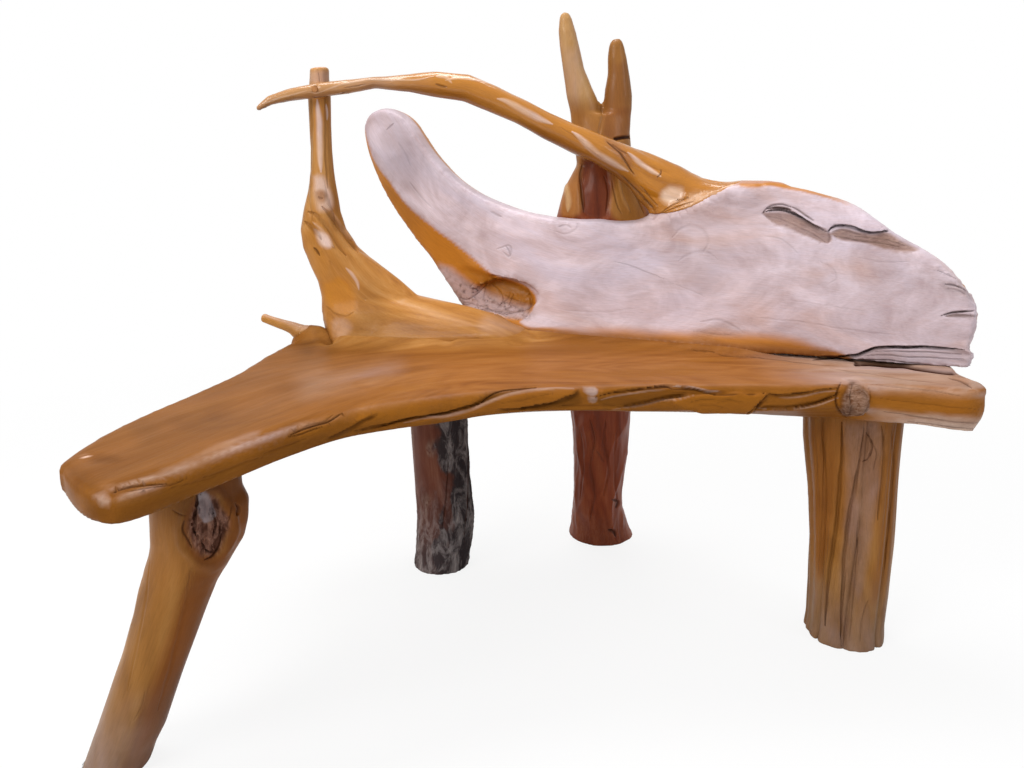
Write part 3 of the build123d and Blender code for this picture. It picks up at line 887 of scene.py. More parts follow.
    def lay_patches(self) -> None:
        """Sinks and paints the patches; their tone and pale also carry painted light and shade."""
        sheet = self.uneven_sheet(40, 5, 1.6)
        facing = self.facing()
        sink = np.zeros(len(self.co))
        for patch in self.patches:
            rim = curve((*patch.rim, patch.rim[0]), 4)
            index = touched(sheet, facing, rim, patch.soft + 2)
            if not len(index):
                continue
            full = ease(-patch.soft, patch.soft, depth_inside(sheet[index], rim)) * facing[index]
            sink[index] -= full * patch.depth * 0.001
            for kind, amount in ((Mark.DARK, patch.dark), (Mark.WORN, patch.worn),
                                 (Mark.PALE, patch.pale), (Mark.GOLD, patch.gold),
                                 (Mark.BARK, patch.bark)):
                held = self.mark(kind)
                if amount > 0:
                    held[index] = np.maximum(held[index], full * amount)
                elif amount < 0:
                    held[index] = held[index] * (1 + full * amount)
            if patch.tone:
                self.mark(Mark.TONE)[index] += full * patch.tone
        self.push(sink)

    # -- shaping
    def shape(self) -> None:
        """Gives the piece its full shape, each kind of piece in its own way."""
        raise NotImplementedError

    def ripple(self, waves: Place, height: float) -> np.ndarray:
        """Raises the swells and dents that every piece of wood has.

        Args:
            waves: Swells to a metre, along the grain and across it.
            height: How high they stand, in metres.

        Returns:
            The grain that they follow.
        """
        grain = self.follow_grain()
        self.push(self.figure.layers(grain * waves, 2) * height)
        return grain

    # -- growing together
    def tree(self) -> BVHTree:
        """The skin as it is now, for measuring distances to it."""
        faces = [tuple(face.vertices) for face in self.body.data.polygons]
        return BVHTree.FromPolygons(self.co.tolist(), faces)

    def gaps(self, tree: BVHTree, spots: np.ndarray, reach: float) -> np.ndarray:
        """Distance from each spot to another skin, below 0 inside it."""
        found = np.full(len(spots), reach * 2)
        for row, spot in enumerate(spots.tolist()):
            near, normal, _, away = tree.find_nearest(spot, reach * 1.5)
            if near is not None:
                lean = sum((spot[axis] - near[axis]) * normal[axis] for axis in range(3))
                found[row] = away if lean >= 0 else -away
        return found

    def growth(self, tree: BVHTree, reach: float) -> np.ndarray:
        """How far each point swells out to meet another piece in a smooth hollow.

        Args:
            tree: The other piece's skin.
            reach: How far from the joint the swell starts.

        Returns:
            The swell of every point, in metres.
        """
        amount = np.zeros(len(self.co))
        first = self.gaps(tree, self.co, reach)
        index = np.nonzero(first < reach)[0]
        move = np.zeros(len(index))
        gap = first[index]
        for _ in range(4):
            held = np.clip(gap, reach / 4, reach)
            goal = (math.sqrt(reach) - np.sqrt(held)) ** 2
            deep = np.clip(1 + gap / (reach / 2), 0, 1)
            move = np.where(gap < 0, goal * deep, goal)
            gap = self.gaps(tree, self.co[index] + self.no[index] * move[:, None], reach)
        amount[index] = move
        return amount

    def even_out(self, amount: np.ndarray, turns: int) -> np.ndarray:
        """An amount averaged over each point's neighbours, turn after turn."""
        mesh = self.body.data
        ends = column(mesh.edges, "vertices", np.int32, 2)
        one, two = ends[0::2], ends[1::2]
        count = np.bincount(ends, minlength=len(amount)) + 1
        for _ in range(turns):
            total = amount + np.bincount(one, amount[two], len(amount)) + np.bincount(
                two, amount[one], len(amount))
            amount = total / count
        return amount

    def set_foot(self) -> None:
        """Cuts a leg's foot flat where it stands, with only a small round."""
        height = self.z
        near = ease(0.030, 0.0, height)
        level = np.hypot(self.no[:, 0], self.no[:, 1])
        self.co[:, :2] += self.no[:, :2] * (near * level * 0.0025)[:, None]
        self.co[:, 2] = np.maximum(height - near * 0.004, 0.0)
        self.write()

    def finish_up(self) -> None:
        """Writes the marks, gives the piece its varnish and ties it to its body."""
        mesh = self.body.data
        if self.z.min() < NEAR_FLOOR:
            self.set_foot()
        low, high = np.array(PLAIN_BOX[0]), np.array(PLAIN_BOX[1])
        self.co = np.clip(self.co, low, high)
        self.write()
        held = self.mark(Mark.GOLD)
        self.marks[Mark.GOLD] = held * (1 - self.mark(Mark.KIN))
        grain = self.follow_grain()
        slot = mesh.attributes.new("grain", "FLOAT_VECTOR", "POINT")
        slot.data.foreach_set("vector", grain.astype(np.float32).ravel())
        for kind in Mark:
            slot = mesh.attributes.new(kind.value, "FLOAT", "POINT")
            slot.data.foreach_set("value", self.mark(kind).astype(np.float32))
        mesh.materials.append(self.finish.material())
        mesh.polygons.foreach_set("use_smooth", np.ones(len(mesh.polygons), bool))
        mesh.update()
        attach(self.body, "root")
        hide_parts(self.node)
        corners = sum(len(face.vertices) - 2 for face in mesh.polygons)
        LOG.info("%s: %d triangles", self.name, corners)

    def work(self) -> None:
        """Makes the mesh fine where marks come, and gives the piece its full shape."""
        self.refine_marks()
        self.shape()

    def dress(self) -> None:
        """Carves and paints the marks, and varnishes the piece."""
        self.lay_patches()
        self.lap_folds()
        self.cut_grooves()
        self.finish_up()


@dataclass(frozen=True)
class Graft:
    """Two pieces that have grown together.

    Args:
        first: Node of the one.
        second: Node of the other.
        reach: How far from the joint both swell.
        until: Where along X the swelling has faded out.
        since: Where along X it begins.
    """

    first: str
    second: str
    reach: float
    until: float = 9.0
    since: float = -9.0

    def share(self, piece: Carving) -> np.ndarray:
        """How much of the swell each point gets."""
        x = piece.x
        return ease(self.until, self.until - 0.09, x) * ease(self.since, self.since + 0.05, x)


GRAFTS = (
    Graft("seat_log", "backrest_slab", 0.046, 0.36),
    Graft("seat_log", "root_post", 0.052, since=-0.385),
    Graft("backrest_slab", "root_post", 0.024),
    Graft("backrest_slab", "arch_branch", 0.044),
    Graft("root_post", "arch_branch", 0.010),
    Graft("seat_log", "side_peg", 0.014),
)


def ready_joints(pieces: dict[str, Carving]) -> None:
    """Makes the meshes finer round each joint."""
    for graft in GRAFTS:
        if graft.reach < 0.02:
            continue
        trees = {name: pieces[name].tree() for name in (graft.first, graft.second)}
        for own, other in ((graft.first, graft.second), (graft.second, graft.first)):
            piece, mate = pieces[own], pieces[other]
            low, high = mate.co.min(0) - graft.reach, mate.co.max(0) + graft.reach
            index = np.nonzero(np.all((piece.co > low) & (piece.co < high), axis=1))[0]
            near = np.zeros(len(piece.co), bool)
            reach = graft.reach * 0.55
            near[index] = piece.gaps(trees[other], piece.co[index], reach) < reach
            near &= piece.x < graft.until
            if near.any():
                piece.refine(near)


def grow_together(pieces: dict[str, Carving]) -> None:
    """Swells the pieces round each joint until they meet in one smooth hollow."""
    trees = {name: piece.tree() for name, piece in pieces.items()}
    swells = {name: np.zeros(len(piece.co)) for name, piece in pieces.items()}
    for graft in GRAFTS:
        for own, other in ((graft.first, graft.second), (graft.second, graft.first)):
            piece = pieces[own]
            swell = piece.growth(trees[other], graft.reach) * graft.share(piece)
            swells[own] = np.maximum(swells[own], swell)
    for name, piece in pieces.items():
        if swells[name].any():
            piece.push(piece.even_out(swells[name], 6))
        LOG.info("%s: grown by up to %.1f mm", name, swells[name].max() * 1000)


# ---------------------------------------------------------------- seat
@dataclass
class SeatLog(Carving):
    """Half log that bends round the sitter, with its folded front edge and burl.

    Args:
        dish: How deep the top is dished.
        knob: Where the knob stands, in plan.
        notch: Where along X the notch beside the knob is.
        burl: The burl's middle.
        front: The front edge in plan, in millimetres.
        web: Where the post's web runs out on the top, in plan.
        foot_line: Places along X, and how far the underside's edge is lifted at each.
    """

    dish: float = 0.0035
    knob: tuple[float, float] = (-0.384, 0.184)
    notch: float = -0.352
    burl: Place = (0.392, -0.088, 0.422)
    front: Line = (
        (-494, -367), (-418, -432), (-374, -379), (-338, -318), (-295, -252), (-239, -194),
        (-172, -162), (-113, -136), (-50, -114), (54, -101), (183, -100), (290, -96), (425, -89),
        (524, -111), (566, -10))
    web: Line = ((-0.36, 0.19), (-0.33, 0.15), (-0.25, 0.140), (-0.16, 0.145), (-0.08, 0.165),
                 (-0.03, 0.19))
    foot_line: tuple[tuple[float, ...], tuple[float, ...]] = (
        (-0.50, -0.40, -0.33, -0.2, -0.14, -0.10, -0.04, 0.02, 0.107, 0.30, 0.35, 0.39, 0.485,
         0.53, 0.56, 0.60),
        (0.0045, 0.0035, 0.0, 0.001, 0.002, 0.0035, 0.0035, 0.001, -0.002, -0.002, 0.0, 0.003,
         0.003, 0.0, -0.006, -0.008))

    def shape(self) -> None:
        """Dishes the top, raises the knob, melts the front edge and swells the burl."""
        grain = self.follow_grain()
        x = self.x
        level = np.hypot(self.no[:, 0], self.no[:, 1])
        back_left = ease(0.1, 0.8, self.no[:, 1] * 0.7 - self.no[:, 0] * 0.7) * ease(-0.1, -0.3, x)
        self.push(level * (0.0016 + 0.0060 * back_left))
        x = self.x
        z = self.z
        self.co[:, 0] += 0.020 * ease(0.550, 0.588, x) * ease(0.430, 0.408, z)
        self.co[:, 2] += np.interp(x, *self.foot_line) * ease(0.425, 0.400, z) * ease(
            0.08, 0.03, self.edge_gap())
        self.write()
        up = ease(0.5, 0.9, self.no[:, 2])
        swell = self.figure.layers(grain * (5, 14, 14), 2)
        self.push(swell * 0.0014)
        side = (1 - np.abs(self.no[:, 2])) * (1 - up)
        runs = self.figure.at(grain * (11, 55, 55) + 4) + 0.5 * self.figure.at(
            grain * (24, 110, 110) + 9)
        self.push(runs * side * 0.0018 * ease(-0.44, -0.36, self.x))
        edge = self.edge_gap()
        self.co[:, 2] -= ease(0.02, 0.09, edge) * up * self.dish * ease(
            -0.30, -0.10, self.x)
        arm = ease(-0.08, -0.26, self.x) * ease(-0.45, -0.40, self.x)
        round_off = 0.010 + 0.010 * arm
        drop = np.clip(1 - edge / round_off, 0, 1) ** 2 * (0.0015 + 0.0045 * arm)
        self.co[:, 2] -= drop * ease(0.402, 0.446, self.z)
        knob_gap = np.hypot(self.x - self.knob[0], self.y - self.knob[1])
        lumps = self.figure.at(self.co * 55) * 0.0016
        bump = bell(knob_gap, 0, 0.024)
        above = ease(0.425, 0.452, self.z) * ease(-0.3, 0.3, self.no[:, 2])
        self.co[:, 2] += above * bump * (0.004 + lumps)
        notch = bell(self.x, self.notch, 0.013) * ease(0.125, 0.165, self.y)
        self.co[:, 2] -= above * notch * 0.016
        self.write()
        gap = self.burl_gap()
        wart = 1 - ease(0.016, 0.030, gap)
        folds = self.burl_folds()
        heart = bell(self.x - self.burl[0] + 0.002
                     + (self.z - self.burl[2]) * 0.15, 0, 0.0035)
        self.push(wart * ((folds - 0.45) * 0.005 + 0.0050 - 0.006 * heart))

    def work(self) -> None:
        """Shapes the seat first, because its rim moves by more than a crack's width."""
        self.shape()
        self.refine_marks()

    def burl_gap(self) -> np.ndarray:
        """Distance from the middle of the burl."""
        wave = self.figure.at(self.co * 38) * 0.007
        return np.linalg.norm((self.co - self.burl) * (1.45, 1.0, 0.92), axis=1) + wave

    def burl_folds(self) -> np.ndarray:
        """Wrinkles of the burl, 0 in the creases."""
        return self.figure.ridges(self.co * (52, 40, 26), 3)

    def edge_gap(self) -> np.ndarray:
        """Distance in plan from the seat's front edge."""
        return gap_to_line(self.co[:, :2], np.array(self.front) / 1000)[0]

    def web_gap(self) -> np.ndarray:
        """Distance in plan from where the post's web runs out on the seat."""
        return gap_to_line(self.co[:, :2], np.array(self.web))[0]

    def lay_patches(self) -> None:
        """Tones of the whole seat, with painted shade on the front, under the front edge and on the
        downward faces and a painted highlight along the left arm's rim, then its own patches.
        """
        up = ease(0.6, 0.95, self.no[:, 2])
        edge = self.edge_gap()
        self.paint(Mark.KIN, ease(0.075, 0.012, self.web_gap()) * ease(0.42, 0.44, self.z))
        x = self.x
        z = self.z
        front = (1 - up) * ease(0.05, 0.0, edge)
        under = ease(0.420, 0.400, z) * ease(0.42, 0.34, x) * (1 - up)
        # Painted shade: the front face, the arm's lower front, the band under the front edge and
        # all downward faces are made darker.
        self.shade(-0.14 * front * ease(0.45, 0.36, x))
        self.shade(-0.20 * front * ease(-0.10, -0.30, x) * ease(0.440, 0.425, z))
        self.shade(-0.34 * under)
        self.shade(-0.12 * ease(0.3, -0.3, self.no[:, 2]))
        self.shade(0.10 * ease(0.36, 0.46, x) * (1 - up))
        self.paint(Mark.GOLD, (1 - up) * 0.9 * (1 - 0.75 * under))
        # Painted highlight along the rim of the left arm.
        rim = bell(edge, 0.006, 0.0026) * ease(0.436, 0.444, z) * ease(-0.445, -0.42, x)
        glint = ease(-0.44, -0.40, x) * ease(-0.27, -0.33, x)
        self.shade((0.05 + 0.10 * glint) * rim)
        self.paint(Mark.PALE, (0.08 + 0.40 * glint) * rim)
        self.shade(-0.25 * ease(-0.10, -0.45, x) * up)
        self.paint(Mark.GOLD, 0.75 * ease(-0.12, -0.40, x) * up)
        self.paint(Mark.PALE, 0.58 * ease(0.26, 0.44, x) * up)
        self.shade(-0.14 * ease(0.30, 0.44, x) * up)
        mottle = self.figure.layers(self.co * (9, 14, 9) + 7, 3)
        self.shade(mottle * 0.09 * ease(0.1, -0.2, x))
        self.paint(Mark.GOLD, ease(0.1, 0.7, mottle) * 0.5 * up)
        low = ease(0.412, 0.398, self.z) * ease(0.40, 0.48, x)
        self.paint(Mark.PALE, low * 0.9)
        self.paint(Mark.WORN, low * 0.35)
        streak = self.figure.layers(self.follow_grain() * (4, 60, 60) + 3, 3)
        self.shade(streak * 0.05)
        self.shade(streak * 0.16 * ease(0.34, 0.46, x))
        gap = self.burl_gap()
        wart = 1 - ease(0.024, 0.031, gap)
        folds = self.burl_folds()
        self.paint(Mark.WORN, wart * 0.75)
        self.paint(Mark.DARK, wart * ease(0.36, 0.16, folds) * 0.5)
        ring = bell(gap, 0.0285, 0.0030) * (1 - up)
        self.paint(Mark.DARK, ring * 0.40 * ease(0.402, 0.390, x))
        super().lay_patches()


# The pale rows that stand proud, from 404,423, 598,400, 612,410, 672,386.5, 756,408 and 776,398.5,
# are painted highlights along the lips of the front edge.
SEAT_GROOVES = read_marks(Groove, """
112,494 120,490 131,487 142,486 156,485 167,484 | 1.4 1.4 0.65
126,492 144,489 160,487 174,484 187,478 | 1.3 0.8 0.35
289,436 298,432 308,428 318,425 328,422 336,417 343,412 | 1.4 2.0 0.7
289,437 300,435 312,430 322,427 | 1.2 1.2 0.5
304,427 314,424 324,422 334,414 | 1.1 0.8 0.35
200,478 222,472 244,463 262,458 | 1.3 0.8 0.25
170,488 196,482 220,475 | 1.0 0.6 0.22
262,455 284,447 306,439 | 1.1 0.8 0.35
350,432 365,429 380,426 396,422 412,418 426,416 440,414 453,411 466,407 480,403 486,399 494,394
  504,391 520,389 536,388 | 1.1 2.6 0.7
404,423 424,418 446,416 466,411 484,404 500,398 516,393 536,390 556,388 574,389 | 2.6 -1.4 0.0
  pale=0.34
500,404 520,401 540,396 556,393 | 1.0 0.5 0.2
560,405 584,406 606,405 622,408 | 1.4 1.0 0.3
596,397 608,394 620,392 635,390 650,388.6 660,387.4 667,387 674,389 688,389 696,390 704,392
  720,394.5 740,393.5 752,394.5 764,393 | 1.0 2.2 0.7
672,386.5 686,386.5 698,388.5 710,391 724,391.5 | 1.7 -1.0 0.0 pale=0.55
598,400 616,396 634,393 652,391 668,390 | 1.5 -1.0 0.0 pale=0.3
612,410 624,408 636,407 648,405 655,403 662,401 672,400 684,398 696,395 | 1.5 -1.4 0.0 pale=0.28
620,407 634,405 646,403 656,400 668,398 682,396 | 0.9 1.2 0.5
690,402 706,399 720,400 740,398 | 1.1 0.8 0.35
716,403 730,401 744,402 | 1.0 0.6 0.25
698,406 712,405 726,408 | 1.0 0.5 0.2
767,396 761,403 754,410 747,416 | 1.9 3.4 0.85 blunt=yes
766,393 773,395 781,395.5 792,394.5 801,393.5 811,392 821,390 838,388 | 1.2 1.8 0.65
776,398.5 790,398 804,396 818,393 836,391 | 1.5 -1.0 0.0 pale=0.28
792,407 806,404.5 820,401.5 832,397 840,392 | 1.2 2.0 0.75
756,408 770,409 786,409.5 806,407 822,404 838,398 | 1.5 -1.2 0.0 pale=0.35
841,382 838,390 836,400 839,411 846,418 | 1.8 2.4 0.7
869,388 871,397 868,407 862,416 | 1.2 1.2 0.35
852,385 850,396 851,408 849,416 | 1.2 1.6 0.5
685,349 700,351 713,352 722,355 730,356 746,357 761,358 786,361 813,364 838,366 | 1.0 0.8 0.4
856,363.5 868,364 880,364.5 892,365.5 903,366 916,368 928,370 946,372 966,373 | 2.8 5.0 1.0
  blunt=yes
812,360 824,358.5 838,358 850,360 862,363 | 1.5 2.0 0.7
830,368 856,372 884,376 912,380 946,384 | 1.0 0.8 0.25
872,384 900,388 930,391 962,396 | 1.0 0.7 0.22
880,398 910,402 944,406 980,410 | 1.0 0.7 0.25
884,412 912,416 948,421 986,424 | 1.2 1.2 0.35
905,421 930,424 960,428 986,431 | 1.0 1.0 0.4
948,378 958,380 966,384 972,388 | 1.5 2.0 0.55
""")
# The glow and shadow of these folds are painted light on the lips and painted shade in the dips.
SEAT_FOLDS = read_marks(Fold, """
326,439 337,434 348,428 357,423 366,419 378,415 | 2.4 8 2.6 5 0.3 glow=0.12 shadow=0.24
350,431 380,425 412,417 440,413 466,406 482,401 | 2.4 8 2.4 4 0.0 glow=0.10 shadow=0.26
496,410 516,408 536,405 548,402 558,399.5 570,396 579,391 | 3.0 9 3.0 5 0.35 glow=0.10 shadow=0.36
596,396 620,391 650,387.6 667,386 690,388 706,391 730,393 | 2.0 6 2.4 5 0.0 glow=0.10 shadow=0.22
616,409 636,406 655,402 672,399 690,396 | 2.4 7 2.6 6 0.2 above=no glow=0.12 shadow=0.34
766,394 782,396 800,394 820,391 838,388 | 2.0 6 2.0 4 0.2 glow=0.10 shadow=0.22
752,410 770,408.5 790,408 806,405.5 822,402 840,394 | 2.4 7 2.4 5 0.2 above=no glow=0.14 shadow=0.30
""")
# Painted light and shade in these rows: 83,457, 96,494 and 160,470 are painted highlights on the
# left arm; 300,378 and 300,380 a painted sheen on the top; the tone of 412,422 and 672,400 painted
# light on the raised leaf and flap; 466,407, 520,408 and 600,398 painted shade in the recesses;
# 330,342 a painted shadow beside the post's foot.
SEAT_PATCHES = read_marks(Patch, """
83,457 85.5,455.5 88,457 85.5,459 | 1.3 -0.3 pale=1.0 tone=0.9
90,458 100,455 112,456 120,459 106,462 94,462 | 4 0.2 0.35
60,468 70,461 100,488 106,500 104,516 84,506 64,488 | 4 tone=-0.14
96,494 104,492 110,500 106,506 98,502 | 3 pale=0.6 tone=0.15
160,470 180,462 206,449 230,440 256,431 258,435 232,446 208,456 182,468 | 2.4 pale=0.24 tone=0.06
300,378 330,366 372,362 400,366 380,380 340,392 305,394 | 16 pale=0.22
300,380 320,372 350,370 340,378 310,388 | 8 pale=0.2 tone=-0.03
140,430 180,412 230,404 220,424 176,440 146,446 | 14 tone=-0.10
220,430 300,405 340,400 300,416 240,436 | 10 gold=0.8 tone=0.04
300,424 330,416 380,406 440,397 490,392 478,401 466,405 440,410 412,415 380,421 350,428 310,439
  300,443 | 2.5 -0.6 gold=1.0 tone=0.12
412,422 440,416 466,411 484,404 510,396 540,391 566,389 578,390 570,395 558,399 536,404 500,409
  470,414 440,419 | 2.0 -3.4 tone=0.16 gold=0.5
466,407 480,399 492,394 516,389 536,388 520,391 500,397 484,403 | 1.6 2.0 tone=-0.42
520,408 540,404 558,401 570,396 579,392 582,404 560,408 534,409 | 2.0 1.6 tone=-0.36
586,389 591,387.5 597,389 597,393 591,395 587,393 | 1.3 -0.8 worn=0.35 pale=0.6 tone=0.06
588,396.5 593,395.5 597,397 596,401 591,402 | 1.3 -0.8 worn=0.5 pale=0.5 tone=0.0
600,398 622,394 650,391 668,390 690,391 700,394 684,397 668,399 655,402 644,405 624,407 606,406
  598,402 | 2.0 2.2 tone=-0.30
672,400 692,395 720,394 740,393 764,394 766,397 756,407 748,414 738,418 724,416 708,413 690,409
  676,405 | 1.8 -5.2 tone=0.20 gold=1.0
768,398 790,396 820,392 838,391 834,398 812,405 786,408 760,408 | 3 tone=0.04 gold=0.9
470,350 560,345 660,343 700,348 600,352 500,356 | 10 gold=0.6
846,371 900,376 962,380 970,388 900,386 846,380 | 5 pale=0.5 tone=-0.04
860,384 900,388 960,392 960,398 900,394 868,392 | 5 pale=0.25 tone=0.05
905,420 940,424 988,429 988,436 950,432 905,424 | 3 pale=0.9 worn=0.3
316,346 300,352 290,360 300,372 330,360 336,350 | 8 tone=-0.08
838,378 856,376 864,380 850,384 | 2.0 -1.0 pale=0.6 tone=0.1
400,344 440,346 520,342 600,346 560,356 460,362 400,356 | 9 gold=0.3 tone=0.06
330,342 370,340 410,344 400,354 360,358 326,356 | 9 tone=-0.12
866,382 920,386 984,392 986,396 920,393 870,390 | 4 pale=0.5
864,408 920,413 986,419 986,425 920,420 872,416 | 3 pale=0.6 tone=-0.04
430,356 520,352 600,356 600,380 500,384 430,380 | 14 tone=0.07
100,470 150,448 220,420 290,400 300,410 230,432 170,454 118,478 | 9 tone=-0.07
128,424 146,420 160,430 150,440 132,438 | 7 tone=-0.12
292,332 312,330 330,338 338,350 322,362 300,360 288,346 | 6 tone=-0.10
298,340 308,338 316,346 310,356 300,350 | 4 0.6 tone=-0.14
""")


# ---------------------------------------------------------------- backrest
@dataclass
class BackrestSlab(Carving):
    """Sawn slab with a pale face, a live edge, a rough hollow and a rotten pocket.

    Args:
        origin: Where the face's foot has its 0.
        turn: How far the face is turned about Z, in degrees.
        lean: How far it leans back, in degrees.
        boundary: Lower edge of the pale wood, along and up the face in millimetres.
        hollow_rim: Rim of the hollow, likewise.
    """

    origin: Place = (0.121, 0.158, SEAT_TOP)
    turn: float = 20.5
    lean: float = 10.0
    boundary: Line = (
        (-497, 340), (-486, 312), (-475, 287), (-453, 261), (-432, 236), (-405, 211), (-378, 189),
        (-348, 169), (-318, 152), (-288, 132), (-259, 112), (-234, 97), (-206, 90), (-182, 82),
        (-164, 68), (-158, 52), (-162, 36), (-174, 24), (-176, 18), (-144, 12), (-41, 17),
        (-8, 20), (60, 22), (119, 25), (179, 26),
        (237, 25), (266, 21), (295, 14), (323, 8), (337, 2))
    hollow_rim: Line = (
        (-336, 60), (-322, 90), (-296, 108), (-262, 104), (-234, 96), (-210, 90), (-184, 80),
        (-166, 66), (-161, 50), (-166, 33), (-182, 23), (-204, 26), (-240, 30), (-276, 34),
        (-306, 42))

    def axes(self) -> tuple[np.ndarray, np.ndarray, np.ndarray]:
        """Directions along the face, up it and out of it."""
        turn, lean = math.radians(self.turn), math.radians(self.lean)
        along = np.array((math.cos(turn), -math.sin(turn), 0.0))
        level = np.array((math.sin(turn), math.cos(turn), 0.0))
        up = level * math.sin(lean) + np.array((0, 0, math.cos(lean)))
        return along, up, np.cross(along, up)

    def on_face(self) -> np.ndarray:
        """Places along and up the face, and how far behind it, in millimetres."""
        along, up, out = self.axes()
        rel = (self.co - np.array(self.origin)) * 1000
        return np.stack([rel @ along, rel @ up, -(rel @ out)], axis=1)

    def shape(self) -> None:
        """Eases the foot into the seat, hollows the pocket and roughens the right end."""
        along, _, out = self.axes()
        grain = self.ripple((4, 11, 11), 0.0016)
        place = self.on_face()
        front = ease(0.2, 0.7, self.no @ out)
        edge = 1 - np.abs(self.no @ out)
        u, v = place[:, 0], place[:, 1]
        right = ease(380, 450, u) * ease(40, 80, v) * ease(260, 200, v)
        left = ease(-230, -280, u) * ease(20, 34, v) * ease(130, 100, v)
        self.push(edge * ease(20, 50, v) * (0.0024 + 0.0036 * right + 0.0050 * left))
        self.co += along * (0.011 * ease(410, 455, u) * ease(34, 16, v))[:, None]
        self.write()
        self.push(-np.abs(self.figure.at(grain * (16, 50, 50))) * edge * 0.0008)
        rim = curve((*self.hollow_rim, self.hollow_rim[0]), 4)
        deep = ease(-1, 7, depth_inside(place[:, :2], rim)) * (place[:, 2] < 34) * ease(
            -315, -236, place[:, 0])
        rough = self.figure.ridges(place / 1000 * (58, 58, 58) + 3, 3)
        low = ease(75, 40, place[:, 1] - 0.25 * (place[:, 0] + 240))
        pull = deep * (0.009 - rough * 0.0045 * low) * ease(0.0, 0.3,
                                                           np.maximum(self.no @ out, front))
        self.co -= out * pull[:, None]
        self.write()
        place = self.on_face()
        right = ease(440, 492, place[:, 0])
        self.push(-right * np.abs(self.figure.at(place / 1000 * (20, 90, 60))) * 0.006)
        self.deep = np.clip(deep, 0, 1)

    def lay_patches(self) -> None:
        """The pale sawn face and its boundary, the golden live edge, painted shade in the hollow,
        along the top edge and on the faces turned away from the front, then the patches.
        """
        _, _, out = self.axes()
        place = self.on_face()
        sawn = curve(self.boundary, 5)
        far_round = ((400, -40), (520, -40), (540, 420), (-560, 420))
        gap = depth_inside(place[:, :2], np.vstack([sawn, far_round]))
        wander = self.figure.layers(place / 1000 * (12, 22, 14), 3) * 2.5
        soft = 3.0 + 9.0 * ease(-150, -40, place[:, 0]) * ease(60, 20, place[:, 1]) * ease(
            330, 240, place[:, 0])
        turned = self.no @ out
        front = ease(0.45, 0.8, turned)
        u, v = place[:, 0], place[:, 1]
        rim_pale = ease(-0.55, 0.1, turned) * ease(26.0, 16.0, place[:, 2])
        # Painted shade along the top edge: faces turned up and away from the front are made darker
        # on the left part.
        self.shade(-0.22 * ease(0.80, 0.45, turned) * ease(0.1, 0.5, self.no[:, 2])
                   * ease(200, 120, u))
        rim_pale *= 1 - 0.7 * ease(130, 170, u) * ease(325, 290, u)
        pale = ease(-1, 1, (gap + wander) / soft) * np.maximum(front, rim_pale)
        rough = self.figure.ridges(place / 1000 * (58, 58, 58) + 3, 3)
        cracks = self.figure.ridges(place / 1000 * (66, 80, 20) + 11, 3)
        low = ease(12, -8, v - np.interp(u, (-330, -293, -269, -241, -210, -186, -165),
                                         (104, 84, 70, 57, 50, 42, 36)) + wander * 2)
        low *= ease(20, 30, v) * ease(-150, -166, u)
        pale = np.maximum(pale * (1 - self.deep * ease(-159, -178, u)), 0.75 * low)
        self.marks[Mark.PALE] = np.clip(pale, 0, 1)
        self.paint(Mark.WORN, low * ease(0.45, 0.8, rough) * 0.5)
        self.paint(Mark.DARK, low * ease(0.70, 0.90, cracks) * ease(-320, -290, u) * 0.8)
        # Painted shade inside the hollow, and a little over its rough lower part.
        self.shade(-0.30 * self.deep * (1 - low) - 0.08 * low)
        wood = 1 - np.clip(pale * 1.2, 0, 1)
        self.paint(Mark.GOLD, wood * 0.9)
        self.paint(Mark.KIN, ease(26, 6, v) * ease(-470, -380, u))
        # Painted shade on the faces turned away from the front.
        self.shade(-0.10 * ease(0.3, -0.6, turned))
        streak = self.figure.layers(place / 1000 * (5, 30, 5) + 2, 3)
        self.shade(streak * 0.04 * pale)
        self.shade(-0.08 * ease(-150, -330, u) * pale)
        super().lay_patches()


